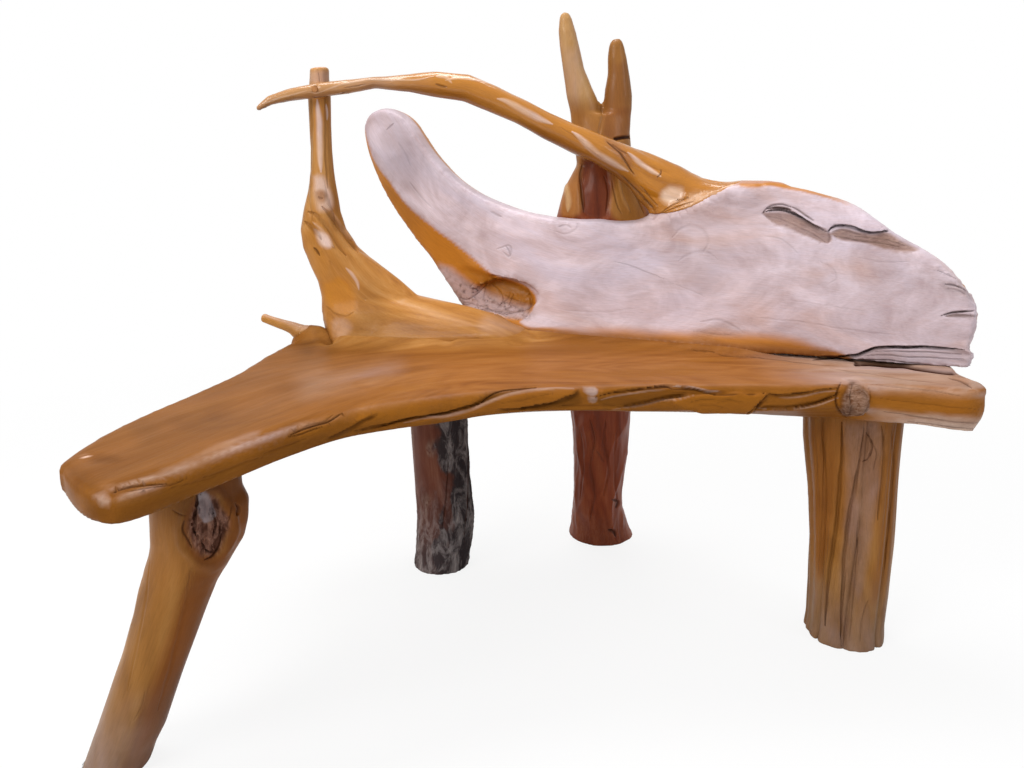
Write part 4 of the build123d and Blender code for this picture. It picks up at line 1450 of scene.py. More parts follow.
# The glow and shadow of these folds are painted light on the lips and painted shade in the dips.
BACK_FOLDS = read_marks(Fold, """
766,212 772,209 780,209 790,212 800,217 812,224 822,229 829,232 | 1.8 10 3.0 5 0.5 glow=0.03
  shadow=0.14
829,231 834,226 843,225 850,225.5 857,228 864,231 872,233 880,233 888,231 | 1.8 10 3.0 5 0.5
  glow=0.03 shadow=0.16
816,359.5 840,357.5 857,355 872,349 890,347 927,347 965,350 | 1.2 6 3.0 4 0.5 glow=0.04 shadow=0.20
""")
BACK_GROOVES = read_marks(Groove, """
763,213 768,208 774,205 783,204 791,207 | 1.4 2.6 0.6
767,209 775,208 783,208 791,210 | 2.8 2.4 0.65 0.5
763,213 771,211 781,210 788,211.5 796,215 805,220.5 814,226 822,230 829,233 | 1.3 3.6 0.85
790,206 798,210 806,216 814,221 | 1.6 1.2 0.45 0.5
828,231 832,227.5 838,225.5 847,225.5 854,227 860,230 866,232 872,233 880,232.5 888,231 | 1.2 3.2
  0.85 blunt=yes
832,232 842,230 852,232 862,235 | 2.0 0.6 0.35 0.4
832,236 848,239 866,242 884,244 902,247 | 1.1 0.8 0.4
850,236 870,238 890,241 910,247 | 1.0 0.8 0.3
766,216 782,220 800,228 818,237 827,243 | 1.4 1.0 0.25
774,215 790,220 806,227 824,237 | 1.0 0.6 0.2
827,233 829,237 828,243 | 1.2 1.0 0.3
942,316 950,313.5 958,312 968,310.8 978,310.5 | 1.5 3.5 0.85 0.3
946,316.5 956,315.5 967,315.5 978,316.5 | 2.6 2.4 0.3 0.6
945,284 953,285 962,288 969,293 | 1.5 2.0 0.6 0.3
946,288 956,290 966,295 | 1.3 1.0 0.3 0.3
936,270 946,274 956,279 | 1.0 1.0 0.4
815,359.5 828,358.5 840,357.5 849,356 857,355 864,352 872,349 880,347.5 890,347 908,347 927,347
  946,348.5 965,350 | 1.6 3.2 0.95
812,360 822,357.5 838,357.5 850,356 | 2.2 1.8 0.85
848,361 866,363 884,364.5 904,366 922,369 940,371 966,373 | 2.6 4.4 1.0
868,352 890,351 920,352 962,354 | 1.0 0.8 0.5
862,356 884,355 910,357 940,358 966,359 | 1.0 0.8 0.5
850,360 880,360 912,363 940,366 966,368 | 1.1 0.9 0.5
614,261 625,264 636,268 650,273 664,279 | 0.9 0.3 0.26
670,283 690,290 706,298 | 0.8 0.2 0.10
552,222 560,219 570,220 577,225 574,231 564,234 555,231 | 2.4 0.4 0.09
558,227 565,225 571,228 | 2.0 0.5 0.18
458,297 466,300 474,296 482,289 488,283 | 1.1 1.2 0.36
486,282 485,290 484,298 489,301 | 0.9 1.0 0.28
488,282 494,286 500,292 503,299 500,306 | 0.9 1.0 0.28
474,283 470,288 476,289 480,284 | 0.8 0.8 0.3
504,294 509,298 516,300 528,304 | 0.8 0.9 0.3
510,292 508,299 502,303 | 0.9 1.0 0.28
514,294 511,301 508,307 | 0.8 0.8 0.35
496,309 501,304 507,303 512,308 | 0.8 0.8 0.3
462,303 470,303 478,306 | 0.8 0.8 0.3
492,275 500,277 510,279.5 519,283 526,288 530,295 531.5,303 530,310 525,316 518,320 | 1.3 1.4 0.14
  blunt=yes
484,308 496,311.5 508,316 518,320 | 1.2 1.2 0.2
490,212 497,215 502,217 | 2.2 0.5 0.24
497,249 504,247 509,246 511,250 509,257 503,252 | 1.9 0.5 0.20
506,247 509,252 510,257 | 1.3 0.5 0.3
386,130 390,126 394,123 | 1.4 0.4 0.3
672,238 682,228 694,226 704,232 708,243 702,254 | 3.0 0.5 0.08
678,262 690,254 706,252 718,260 | 2.4 0.4 0.07
765,236 778,238 790,246 800,256 | 1.4 0.3 0.12
820,262 832,268 836,278 828,284 | 2.0 0.3 0.08
858,258 884,262 910,262 | 1.6 0.3 0.10
700,322 716,320 730,324 744,332 | 2.0 0.4 0.14
690,330 712,334 738,336 | 1.6 0.4 0.16
398,142 404,152 410,166 | 1.8 0.3 0.10
410,182 420,196 432,208 | 1.8 0.3 0.10
560,310 600,312 640,308 | 1.4 0.2 0.06
760,318 800,322 850,330 900,336 | 1.2 0.3 0.10
790,300 830,306 870,312 | 1.2 0.2 0.07
""")
# Painted light and shade in these rows: 486,216, 540,286 and 520,322 are a painted sheen on the
# face; 800,200 a painted highlight on the proud lip above the cracks; the tone of 488,276 painted
# shade inside the hollow's rim.
BACK_PATCHES = read_marks(Patch, """
763,214 784,213 806,222 829,234 828,243 812,238 790,229 771,221 | 1.6 4.0 0.06 worn=0.45 pale=-0.3
  tone=-0.10
764,214 790,216 812,227 820,234 800,228 776,220 | 2.2 tone=0.14
829,234 842,229 858,232 872,235 888,233 902,240 920,249 898,250 870,244 842,240 | 1.8 2.6 0.05
  worn=0.55 pale=-0.4 tone=-0.14
800,200 830,204 860,214 888,228 876,230 850,222 828,224 808,214 | 4 -1.8 tone=0.14
688,352 700,324 736,324 744,334 720,336 | 6 worn=0.20
664,225 700,216 724,240 710,280 676,276 | 18 tone=-0.10
396,112 420,120 440,160 420,170 392,150 | 16 tone=-0.03
486,216 560,224 620,236 600,262 540,270 494,250 | 22 tone=0.13
540,286 620,290 700,296 800,306 800,322 640,322 550,316 | 18 tone=0.15
520,322 560,328 620,331 700,330 730,326 700,320 600,320 | 8 tone=0.12
440,264 452,268 470,284 474,300 458,303 450,288 | 4 pale=0.55
488,276 504,279 520,284 530,294 520,294 506,290 492,284 | 3 gold=0.4 tone=-0.22
800,250 940,262 968,300 940,322 860,318 810,290 | 24 tone=-0.07
860,352 964,352 968,370 900,363 846,362 | 2.0 1.0 0.0 worn=0.2 tone=-0.06
940,280 960,284 974,298 960,296 944,290 | 4 worn=0.3 tone=-0.05
740,184 780,183 820,192 832,197 818,195 780,187 744,187 | 1.4 gold=0.9 pale=-0.95
""")


# ---------------------------------------------------------------- post and peg
@dataclass
class RootPost(Carving):
    """Flared root that stands on the seat, with its twisted folds and web.

    Args:
        middle: The upright's middle, in plan.
    """

    middle: tuple[float, float] = (-0.362, 0.232)

    def height(self) -> np.ndarray:
        """Height above the seat."""
        return self.z - SEAT_TOP

    def shape(self) -> None:
        """Twists the neck into thick strands."""
        self.ripple((6, 18, 18), 0.0022)
        height = self.height()
        x, y = self.x - self.middle[0], self.y - self.middle[1]
        angle = np.arctan2(y, x)
        turn = angle * 2 + (height - 0.2) * 26 + self.figure.at(self.co * 12) * 0.7
        strand = np.abs(np.cos(turn))
        band = ease(0.11, 0.16, height) * ease(0.27, 0.21, height)
        self.push(band * (strand**0.7 - 0.62) * 0.0040)
        tip = ease(0.375, 0.41, height)
        self.co[:, :2] -= np.stack([x + 0.006, y * 0.6], axis=1) * (tip * 0.12)[:, None]
        self.co[:, 2] -= 0.016 * ease(-0.10, -0.04, self.x)
        left = np.clip(-self.no[:, 0], 0, 1) * ease(0.16, 0.10, height)
        self.co[:, :2] += self.no[:, :2] * (left * 0.002)[:, None]
        self.write()

    def lay_patches(self) -> None:
        """Tones from the golden neck to the web, which turns into the seat's wood, with painted
        light on the web, painted shade down the sides and a painted highlight on the top.
        """
        height = self.height()
        x = self.x
        self.paint(Mark.GOLD, 0.55 * ease(0.20, 0.05, height) * ease(-0.30, -0.36, x))
        self.paint(Mark.KIN, ease(0.060, 0.008, height))
        # Painted light: the web is made lighter just above the seat.
        self.shade(0.10 * ease(0.02, 0.06, height) * ease(-0.30, -0.22, x))
        # Painted shade down the sides of the post.
        side = np.abs(self.no[:, 0]) * ease(0.12, 0.2, height)
        self.shade(-0.28 * ease(0.35, 0.85, side))
        # Painted highlight on the upward faces at the top.
        top = ease(0.6, 0.9, self.no[:, 2]) * ease(0.40, 0.415, height)
        self.paint(Mark.PALE, top * 0.5)
        super().lay_patches()


# The rows from 308,212, 322,207 and 305,222 darken the creases between the strands as painted
# shade, 311,98 is painted shade along the left edge, and the pale rows from 313,222, 327,206,
# 317,100, 326,104 and 346,268 are painted highlights.
POST_GROOVES = read_marks(Groove, """
308,212 314,214 320,219 326,225 331,232 338,244 346,255 | 3.6 3.4 0.18
322,207 329,214 336,223 342,231 348,240 358,252 | 3.4 3.0 0.14
305,222 310,226 316,232 321,240 | 3.8 3.0 0.24
313,222 321,229 328,238 334,247 | 2.6 -2.4 0.0 pale=0.25
327,206 335,218 343,230 351,240 | 2.8 -2.2 0.0 pale=0.15
314,248 317,251 320,256 | 2.2 2.2 0.6
325,98 326,130 326,160 328,188 | 2.2 1.2 0.22
311,98 312,120 311,150 310,182 | 2.4 1.0 0.18
317,100 319,116 319.5,134 320,152 321,172 | 4.8 -0.6 0.0 pale=0.72
326,104 327,112 327,120 | 1.4 -0.3 0.0 pale=0.6
318,196 320,198 323,198 | 1.8 1.0 0.35
318,72 320,78 320,84 | 1.1 0.6 0.2
330,262 338,276 350,290 366,300 | 5.0 1.4 0.0
326,306 334,313 346,316 354,312 | 1.6 0.8 0.2
346,268 352,274 357,282 359,290 | 2.6 -1.0 0.0 pale=0.55
""")
# Painted light and shade in these rows: 364,276 and 344,318 are painted shadow beside the post's
# foot; 306,222 is golden wood painted darker as painted shade; 306,100 is painted shade along the
# left edge; 314,230 and 314,178 are painted highlights.
POST_PATCHES = read_marks(Patch, """
364,276 378,284 386,300 384,322 374,342 356,350 344,346 352,330 362,306 | 8 1.0 tone=-0.16
344,318 370,312 404,318 424,330 410,342 370,346 346,336 | 8 tone=-0.22
322,282 340,276 352,286 356,304 348,316 334,312 324,298 | 5 0.5 gold=1.0 tone=0.12
314,230 324,232 331,242 330,248 320,244 | 3 -0.6 pale=0.85 tone=0.05
314,178 322,176 328,184 332,200 330,210 318,208 | 4 -0.4 pale=0.7
316,192 322,190 326,196 322,202 317,199 | 3 0.6 worn=0.5 pale=-0.6 tone=-0.08
306,222 316,222 324,238 318,246 308,236 | 4 0.6 gold=0.7 tone=-0.14
312,244 324,250 330,270 322,280 314,262 | 5 gold=0.6
346,264 366,274 384,292 404,302 392,306 366,288 | 8 tone=0.06
400,306 440,308 484,312 496,322 450,328 410,322 | 10 tone=0.07
488,316 510,322 520,330 500,332 480,326 | 8 pale=0.25
332,322 344,318 352,328 344,338 336,336 | 4 pale=0.25
308,72 330,72 330,82 308,82 | 4 pale=0.35 tone=-0.05
306,100 312,100 312,180 308,190 304,150 | 2.5 tone=-0.16
""")


@dataclass
class StubPeg(Carving):
    """Snapped root that sticks out of the knob."""

    def shape(self) -> None:
        """Makes the peg uneven, and thicker towards its root."""
        self.ripple((30, 70, 70), 0.0010)
        self.push(0.0012 + 0.0030 * ease(-0.45, -0.41, self.x))

    def lay_patches(self) -> None:
        """Toned down to the knob's wood, with a painted highlight on its upward faces."""
        self.paint(Mark.KIN, ease(-0.455, -0.42, self.x))
        self.paint(Mark.GOLD, np.full(len(self.co), 0.5))
        self.shade(np.full(len(self.co), -0.12))
        # Painted highlight on the peg's upward faces.
        self.paint(Mark.PALE, 0.35 * ease(0.3, 0.9, self.no[:, 2]))


# ---------------------------------------------------------------- arch
@dataclass
class ArchBranch(Carving):
    """Branch that climbs from the slab's top and crosses the post."""

    def shape(self) -> None:
        """Swells and flats along the branch, and furrows at its root."""
        grain = self.ripple((10, 22, 22), 0.0022)
        x = self.x
        self.co[:, 2] -= 0.006 * ease(0.20, 0.27, x)
        self.write()
        root = ease(0.10, 0.16, x) * ease(0.33, 0.25, x)
        furrow = np.abs(self.figure.at(grain * (9, 48, 48) + 6))
        self.push(-root * (1 - furrow) ** 3 * 0.0020)

    def lay_patches(self) -> None:
        """Golden wood, redder and painted darker below as painted shade, a little painted shade on
        top, browner along the thin end.
        """
        self.paint(Mark.GOLD, 0.85 * ease(-0.8, 0.2, self.no[:, 2]))
        # Painted shade on the undersides.
        self.shade(-0.30 * ease(0.0, -0.7, self.no[:, 2]))
        # Painted shade on the upward faces.
        self.shade(-0.12 * ease(0.5, 0.9, self.no[:, 2]))
        thin = ease(-0.16, -0.28, self.x)
        self.marks[Mark.GOLD] *= 1 - 0.9 * thin
        self.shade(-0.12 * thin)
        self.paint(Mark.PALE, 0.20 * thin)
        super().lay_patches()


# The pale rows are painted highlight streaks along the top of the branch.
ARCH_GROOVES = read_marks(Groove, """
436,84 442,86 447,87 | 2.0 1.4 0.5
607,142 613,147 620,153 626,162 631,170 634,174 | 1.6 2.0 0.55
612,144 620,150 627,154 | 1.3 1.2 0.4
572,132 578,136 584,142 592,149 600,155 610,161 620,167 628,171 | 5.0 -0.8 0.0 pale=0.62
628,153 635,159 642,165 650,170 657,174 661,177 | 3.8 -1.2 0.0 pale=0.58
657,178 661,174 661,170 | 1.2 1.4 0.5
622,176 634,188 646,200 655,210 | 1.6 1.6 0.40
640,186 650,197 658,206 | 1.5 1.4 0.35
660,214 668,208 678,202 688,197 | 1.3 1.0 0.35
656,216 666,212 680,206 694,201 | 1.3 1.0 0.3
498,99 506,101 516,106 526,112 540,119 552,124 | 5.0 -0.5 0.0 pale=0.56
446,80 462,78 478,80 490,84 | 2.2 -0.3 0.0 pale=0.55
436,76 446,77 452,83 | 2.4 -0.3 0.0 pale=0.5
308,92 318,93 328,89 342,85 356,81 374,79.5 402,80 420,79.5 434,76 | 1.9 -0.4 0.0 pale=0.5
262,104 276,99 292,95 306,91 | 1.8 -0.3 0.0 pale=0.6
312,97 322,97.5 334,96 348,92 | 1.3 0.8 0.4
345,88 356,86 366,84 | 1.2 1.0 0.3
560,127 576,138 590,150 604,160 | 1.4 0.6 0.10
""")
# The row from 663,191 is a painted highlight in the hollow at the root; the rows from 520,118 and
# 600,162 are painted shade along the lower edge.
ARCH_PATCHES = read_marks(Patch, """
663,191 671,186 683,189 680,199 669,204 661,198 | 3.4 2.6 pale=0.8 tone=0.06
606,140 618,143 630,156 632,168 624,162 612,150 | 3.5 1.0 worn=0.55 tone=-0.05
560,118 590,134 604,142 598,150 576,138 556,128 | 6 gold=1.0 tone=0.08
640,182 656,184 662,196 656,210 646,200 | 5 gold=1.0 tone=0.02
684,176 720,184 770,184 740,189 700,196 686,190 | 7 gold=0.8 tone=0.06
690,194 716,190 730,190 704,200 684,208 | 4 pale=0.35
520,118 548,134 580,152 600,164 586,162 548,142 520,124 | 3 tone=-0.20
600,162 622,174 644,194 654,208 640,202 618,182 598,168 | 3 tone=-0.26
262,106 280,99 300,96 300,98 280,103 | 2.5 tone=-0.12
256,110 266,104 268,108 258,113 | 3 tone=-0.25
""")


# ---------------------------------------------------------------- legs
@dataclass
class FrontLeftLeg(Carving):
    """Splayed leg with a dry knot hollow at its top.

    Args:
        knot: The hollow's middle on the sheet.
        knot_size: Half its width and height there.
        knot_lean: How it leans, as the sine and cosine of the turn.
    """

    knot: tuple[float, float] = (207.0, 527.0)
    knot_size: tuple[float, float] = (24.0, 34.0)
    knot_lean: tuple[float, float] = (0.22, 0.97)

    def shape(self) -> None:
        """Flats of the drawknife down the leg, and the knot's torn hollow."""
        grain = self.ripple((6, 20, 20), 0.0022)
        self.push(-np.abs(self.figure.at(grain * (3, 26, 26) + 8)) * 0.0016)
        height = self.z
        left, right = np.clip(-self.no[:, 0], 0, 1), np.clip(self.no[:, 0], 0, 1)
        self.push(ease(0.30, 0.24, height) * (left * 0.0036 * ease(0.0, 0.10, height)
                                              + right * 0.0030)
                  + ease(0.12, 0.0, height) * (right * 0.0045 - left * 0.0020)
                  + ease(0.25, 0.28, height) * ease(0.36, 0.33, height) * right * 0.0045
                  - ease(0.355, 0.375, height) * right * 0.0060
                  - ease(0.27, 0.31, height) * ease(0.42, 0.38, height) * left * 0.0040)
        sheet = STAND.sheet(self.co)
        facing = self.facing()
        sine, cosine = self.knot_lean
        rel = (sheet - self.knot) / self.knot_size
        turned = rel @ np.array(((cosine, sine), (-sine, cosine)))
        gap = np.linalg.norm(turned, axis=1) + 0.16 * self.figure.at(self.co * 38)
        hole = ease(1.0, 0.62, gap) * facing
        torn = self.figure.ridges(np.stack([sheet[:, 0] / 8, sheet[:, 1] / 26,
                                            self.y * 20], axis=1), 3)
        lip = bell(gap, 1.12, 0.15) * facing
        self.push(hole * (-0.008 + torn * 0.008) + lip * 0.003)
        self.paint(Mark.WORN, np.clip(hole * 1.6, 0, 1) * 0.9)
        self.paint(Mark.DARK, np.clip(hole * 1.8, 0, 1) * ease(0.42, 0.22, torn) * 0.8)
        self.shade(-0.14 * lip)

    def lay_patches(self) -> None:
        """Painted shade near the seat and on the right-facing side, dusty at the foot and darker
        towards it.
        """
        height = self.z
        right = ease(0.1, 0.7, self.no[:, 0])
        self.paint(Mark.GOLD, np.maximum(0.45 * ease(0.2, 0.4, height), right * 0.95))
        # Painted shade under the seat.
        self.shade(-0.36 * ease(0.28, 0.38, height))
        # Painted shade on the right-facing side.
        self.shade(-0.26 * right * ease(0.02, 0.12, height))
        self.paint(Mark.PALE, 0.42 * ease(0.16, 0.0, height))
        self.shade(-0.30 * ease(0.20, 0.0, height))
        super().lay_patches()


LEG_LEFT_GROOVES = read_marks(Groove, """
196,490 197,500 195,512 193,524 196,536 | 2.2 3.0 0.9
204,560 212,556 218,546 221,534 | 1.8 2.4 0.8
200,538 206,550 214,553 | 1.6 2.0 0.8
212,512 215,524 212,538 | 1.5 1.8 0.7
184,520 183,530 188,540 192,548 | 1.5 1.6 0.6
236,503 239,508 237,516 | 2.4 3.2 0.75
172,510 178,514 186,516 | 1.2 0.8 0.4
226,524 230,516 232,506 | 1.2 1.0 0.4
150,560 146,600 138,640 128,690 | 2.0 0.6 0.03
190,570 184,610 172,660 158,710 | 3.0 0.8 0.06
134,720 142,706 146,690 | 1.2 0.5 0.12
""")
LEG_LEFT_PATCHES = read_marks(Patch, """
201,488 207,492 213,502 217,515 206,523 198,513 197,498 | 1.8 -1.0 -0.9 worn=-0.7 pale=1.0
152,580 172,580 164,640 144,690 124,700 138,640 | 12 tone=0.08
196,560 216,560 206,620 182,700 164,740 160,720 184,640 | 9 gold=0.8 tone=-0.16
222,500 240,505 244,525 236,545 226,530 | 5 gold=0.8 tone=0.10
""")


@dataclass
class FrontRightLeg(Carving):
    """Fluted leg of several stems grown together.

    Args:
        middle: The leg's middle, in plan.
        stems: Half the number of stems.
        ribs: Half the number of fine ribs.
    """

    middle: tuple[float, float] = (0.462, 0.028)
    stems: float = 3.5
    ribs: float = 11.0

    def shape(self) -> None:
        """Stems and seams down the leg, and a lobed foot."""
        self.ripple((4, 16, 16), 0.0020)
        angle = np.arctan2(self.y - self.middle[1], self.x - self.middle[0])
        drift = self.figure.at(self.co * (6, 6, 5)) * 0.5 + (self.z - 0.2) * 1.2
        seams = (1 - np.abs(np.sin(angle * self.stems + drift))) ** 3
        self.push(-seams * 0.0065)
        fine = (1 - np.abs(np.sin(angle * self.ribs + drift * 3))) ** 4
        self.push(-fine * 0.0010 * ease(0.03, 0.12, self.z))
        self.shade(-seams * 0.14)

    def lay_patches(self) -> None:
        """Orange stems left and right, greyer wood between them and at the foot, and painted shade
        on the right-facing side.
        """
        height = self.z
        self.paint(Mark.PALE, 0.34 * ease(0.16, 0.0, height))
        self.shade(-0.20 * ease(0.18, 0.0, height))
        self.paint(Mark.GOLD, 0.4 * ease(0.1, 0.3, height))
        # Painted shade on the right-facing side.
        self.shade(-0.16 * ease(0.2, 0.75, self.no[:, 0]))
        self.shade(0.03 * ease(0.4, 0.2, height))
        super().lay_patches()


LEG_RIGHT_GROOVES = read_marks(Groove, """
842,422 842,450 840,480 838,510 834,540 829,570 826,600 825,626 | 3.4 4.0 0.28
864,428 862,450 857,474 852,500 847,530 844,560 842,600 841,644 | 3.0 3.6 0.30
882,426 884,450 883,475 880,500 878,520 | 2.6 2.4 0.22
866,432 872,444 868,458 862,462 | 1.5 1.6 0.45
870,440 876,452 874,470 | 1.2 1.2 0.35
822,430 824,470 822,520 818,570 | 1.5 1.0 0.15
816,440 817,470 817,510 | 1.2 0.8 0.15
892,430 893,470 889,520 884,570 | 1.6 1.0 0.2
858,520 856,560 852,600 850,640 | 1.2 1.0 0.25
868,600 862,620 860,640 | 1.4 1.2 0.2
""")
# The row from 884,424 is the golden right-hand stem, painted darker as painted shade on that side.
LEG_RIGHT_PATCHES = read_marks(Patch, """
845,424 880,424 880,470 870,540 856,620 838,640 842,560 848,500 | 6 pale=0.30 worn=0.18 tone=-0.04
884,424 904,424 896,520 886,580 872,600 880,520 | 6 gold=0.5 tone=-0.14
806,424 838,424 834,520 818,580 810,520 | 6 gold=0.55 tone=0.03
""")


@dataclass
class RearLeftLeg(Carving):
    """Leg that keeps dark bark on its right side and foot.

    Args:
        middle: The leg's middle along X.
    """

    middle: float = -0.191

    def shape(self) -> None:
        """Flaking bark over a plain stem."""
        self.ripple((6, 22, 22), 0.0024)
        height = self.z
        x = self.x - self.middle
        wander = self.figure.layers(self.co * (26, 26, 12), 4)
        right = ease(-0.25, 0.25, x * 34 + wander * 1.1 - (height - 0.20) * 1.6 - 0.1)
        low = ease(0.20, 0.02, height + wander * 0.03)
        bark = np.clip(np.maximum(right, low * 0.9), 0, 1)
        flake = self.figure.ridges(self.co * (60, 60, 26) + 2, 3)
        self.push(bark * (flake - 0.5) * 0.0032)
        self.paint(Mark.BARK, bark)
        self.paint(Mark.WORN, ease(0.0, 0.5, wander) * 0.6 * (1 - bark))
        self.shade(0.34 * ease(0.16, 0.04, height) * ease(0.03, -0.01, x)
                   - 0.24 * ease(0.01, 0.04, x))


LEG_REAR_GROOVES = read_marks(Groove, """
460,430 462,460 458,500 455,540 458,560 | 1.4 1.2 0.0 pale=0.75
448,460 446,500 442,530 | 1.3 1.2 0.6
468,440 468,490 464,540 | 1.3 1.2 0.6
""")


@dataclass
class RearTrunk(Carving):
    """Trunk behind the seat that ends in a two-pronged fork.

    Args:
        fork: The heights between which the trunk turns into its prongs.
        parting: Where along X the prongs part.
    """

    fork: tuple[float, float] = (0.80, 0.84)
    parting: float = 0.083

    def shape(self) -> None:
        """Long ridges below, lighter on their crests and darker in the furrows as painted light and
        shade, a hollowed waist and smooth prongs above.
        """
        height = self.z
        grain = self.ripple((6, 20, 20), 0.0020)
        low = ease(0.46, 0.38, height)
        ridge = self.figure.ridges(grain * (7, 30, 30) + 5, 2)
        self.push(low * (ridge - 0.6) * 0.0055 * ease(-0.01, 0.05, height))
        # Painted light and shade: ridges lighter and furrows darker, over an even lift of the lower
        # trunk.
        self.shade(low * ((ridge - 0.62) * 0.22 + 0.12))
        prong = ease(*self.fork, height)
        left = self.x < self.parting
        out = np.where(left, np.clip(-self.no[:, 0], 0, 1), np.clip(self.no[:, 0], 0, 1))
        self.push(prong * (out * 0.0030 + 0.0008))

    def lay_patches(self) -> None:
        """Red-brown below, golden at the fork, with a painted highlight on the left prong and
        painted shade on the right prong and the prongs' sides.
        """
        height = self.z
        self.paint(Mark.GOLD, ease(0.62, 0.76, height) * 0.95)
        self.paint(Mark.WORN, 0.15 * ease(0.10, 0.0, height))
        prong = ease(*self.fork, height)
        left = ease(0.085, 0.060, self.x) * prong
        # Painted highlight on the front of the left prong.
        self.paint(Mark.PALE, 0.40 * left * ease(0.0, -0.7, self.no[:, 1]))
        # Painted shade on the right prong.
        self.shade(-0.24 * (1 - left) * prong)
        # Painted shade on the sides of the prongs.
        self.shade(-0.12 * np.abs(self.no[:, 0]) * ease(0.78, 0.84, height))
        self.shade(-0.14 * ease(0.45, 0.72, height) * ease(0.84, 0.80, height))
        super().lay_patches()


# The pale rows from 563,180 and 618,178 are painted highlights on the left lobe and the folds right
# of the recess.
TRUNK_GROOVES = read_marks(Groove, """
615,139 620,138 626,137.5 632,137 | 2.6 4.0 1.0 blunt=yes
601,106 603,116 600,128 599,138 | 3.0 1.2 0.10
582,164 580,176 582,192 584,212 | 2.2 2.2 0.45
563,180 566,188 569,200 568,212 | 5.0 -1.4 0.0 pale=0.42
604,176 608,190 606,212 | 2.0 1.4 0.30
618,178 622,194 630,212 | 2.2 -1.4 0.0 pale=0.10
612,180 616,200 622,214 | 1.6 1.4 0.35
630,186 638,200 644,214 | 1.6 1.4 0.30
590,420 594,440 590,464 594,490 590,520 | 2.4 2.0 0.20
606,420 604,444 608,470 604,496 | 2.4 2.0 0.20
580,430 583,460 580,500 | 2.0 1.2 0.15
617,430 614,466 617,500 | 2.0 1.2 0.15
612,500 618,502 616,508 | 2.4 2.4 0.75
608,530 614,532 616,536 | 2.6 2.8 0.85
596,450 600,456 604,462 | 1.4 1.0 0.30
""")
# The row from 582,160 is painted shade in the sunk recess, 614,172 golden folds made lighter as
# painted light, and 562,176 a painted highlight on the left lobe.
TRUNK_PATCHES = read_marks(Patch, """
582,160 600,158 610,170 608,216 584,216 580,190 | 3 5.0 gold=-0.95 tone=-0.26
614,172 630,176 646,218 612,218 | 4 2.0 gold=1.0 tone=0.14
562,176 574,168 580,184 580,214 560,214 | 3 -1.0 gold=0.7 tone=0.10
604,112 632,110 632,136 606,138 | 4 gold=-0.35 tone=-0.05
612,64 628,64 630,110 606,112 606,90 | 5 gold=-0.25 tone=-0.06
""")


# ---------------------------------------------------------------- joinery
@dataclass(frozen=True)
class Hardware:
    """Finish of the screws and washers: zinc with fine brushing and a little tarnish.

    Args:
        name: The material's name.
    """

    name: str = "zinc_plate"

    def material(self) -> bpy.types.Material:
        """Lays out the metal."""
        kit = Bench(self.name)
        where = kit.put("ShaderNodeTexCoord").outputs["Object"]
        brush = kit.noise(where, (2600.0, 160.0, 2600.0), 3)
        tarnish = kit.noise(where, (90.0, 90.0, 90.0), 5, 0.6)
        metal = kit.mix(kit.span(brush, 0.35, 0.65), (138, 140, 142), (186, 188, 190))
        metal = kit.mix(kit.span(tarnish, 0.52, 0.72, 0.0, 0.55), metal, (112, 100, 84))
        kit.feed("Base Color", metal)
        kit.feed("Roughness", kit.span(tarnish, 0.3, 0.7, 0.28, 0.5))
        kit.feed("Metallic", 1.0)
        kit.rise(brush, 0.00005)
        return kit.material


@dataclass(frozen=True)
class TurnedWood:
    """Finish of the dowels, wedges and the pin: straight grain, lightly oiled.

    Args:
        name: The material's name.
        dark: Darkest grain.
        light: Lightest grain.
        gloss: Its roughness.
    """

    name: str
    dark: Stain
    light: Stain
    gloss: float = 0.55

    def material(self) -> bpy.types.Material:
        """Lays out the wood."""
        kit = Bench(self.name)
        where = kit.put("ShaderNodeTexCoord").outputs["Object"]
        fibre = kit.noise(where, (700.0, 700.0, 40.0), 4, 0.6, 0.4)
        band = kit.noise(where, (120.0, 120.0, 14.0), 3, 0.5, 0.8)
        wood = kit.mix(kit.span(kit.sum(fibre, band), 0.75, 1.25), self.dark, self.light)
        kit.feed("Base Color", wood)
        kit.feed("Roughness", kit.span(fibre, 0.3, 0.7, self.gloss + 0.08, self.gloss - 0.06))
        kit.rise(fibre, 0.0002)
        return kit.material


@dataclass
class Joinery:
    """Dowels, wedges, pin, screws and washers, which keep their plain shapes.

    Args:
        dowels: Nodes of pale turned wood.
        pins: Nodes of darker turned wood.
        metal: Nodes of zinc.
    """

    dowels: tuple[str, ...] = ("tenon_wedges", "backrest_dowels", "post_dowels",
                               "arch_root_dowels")
    pins: tuple[str, ...] = ("arch_post_pin",)
    metal: tuple[str, ...] = ("trunk_seat_lags", "trunk_seat_washers", "trunk_back_lags",
                              "trunk_back_washers")

    def dress(self) -> None:
        """Gives each kind its finish."""
        kinds = (
            (self.dowels, TurnedWood("dowel_wood", (150, 112, 72), (206, 170, 122))),
            (self.pins, TurnedWood("pin_wood", (118, 70, 34), (176, 118, 62), 0.34)),
            (self.metal, Hardware()),
        )
        for names, finish in kinds:
            material = finish.material()
            for name in names:
                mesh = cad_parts[name].data
                mesh.materials.clear()
                mesh.materials.append(material)
                LOG.info("%s: dressed", name)


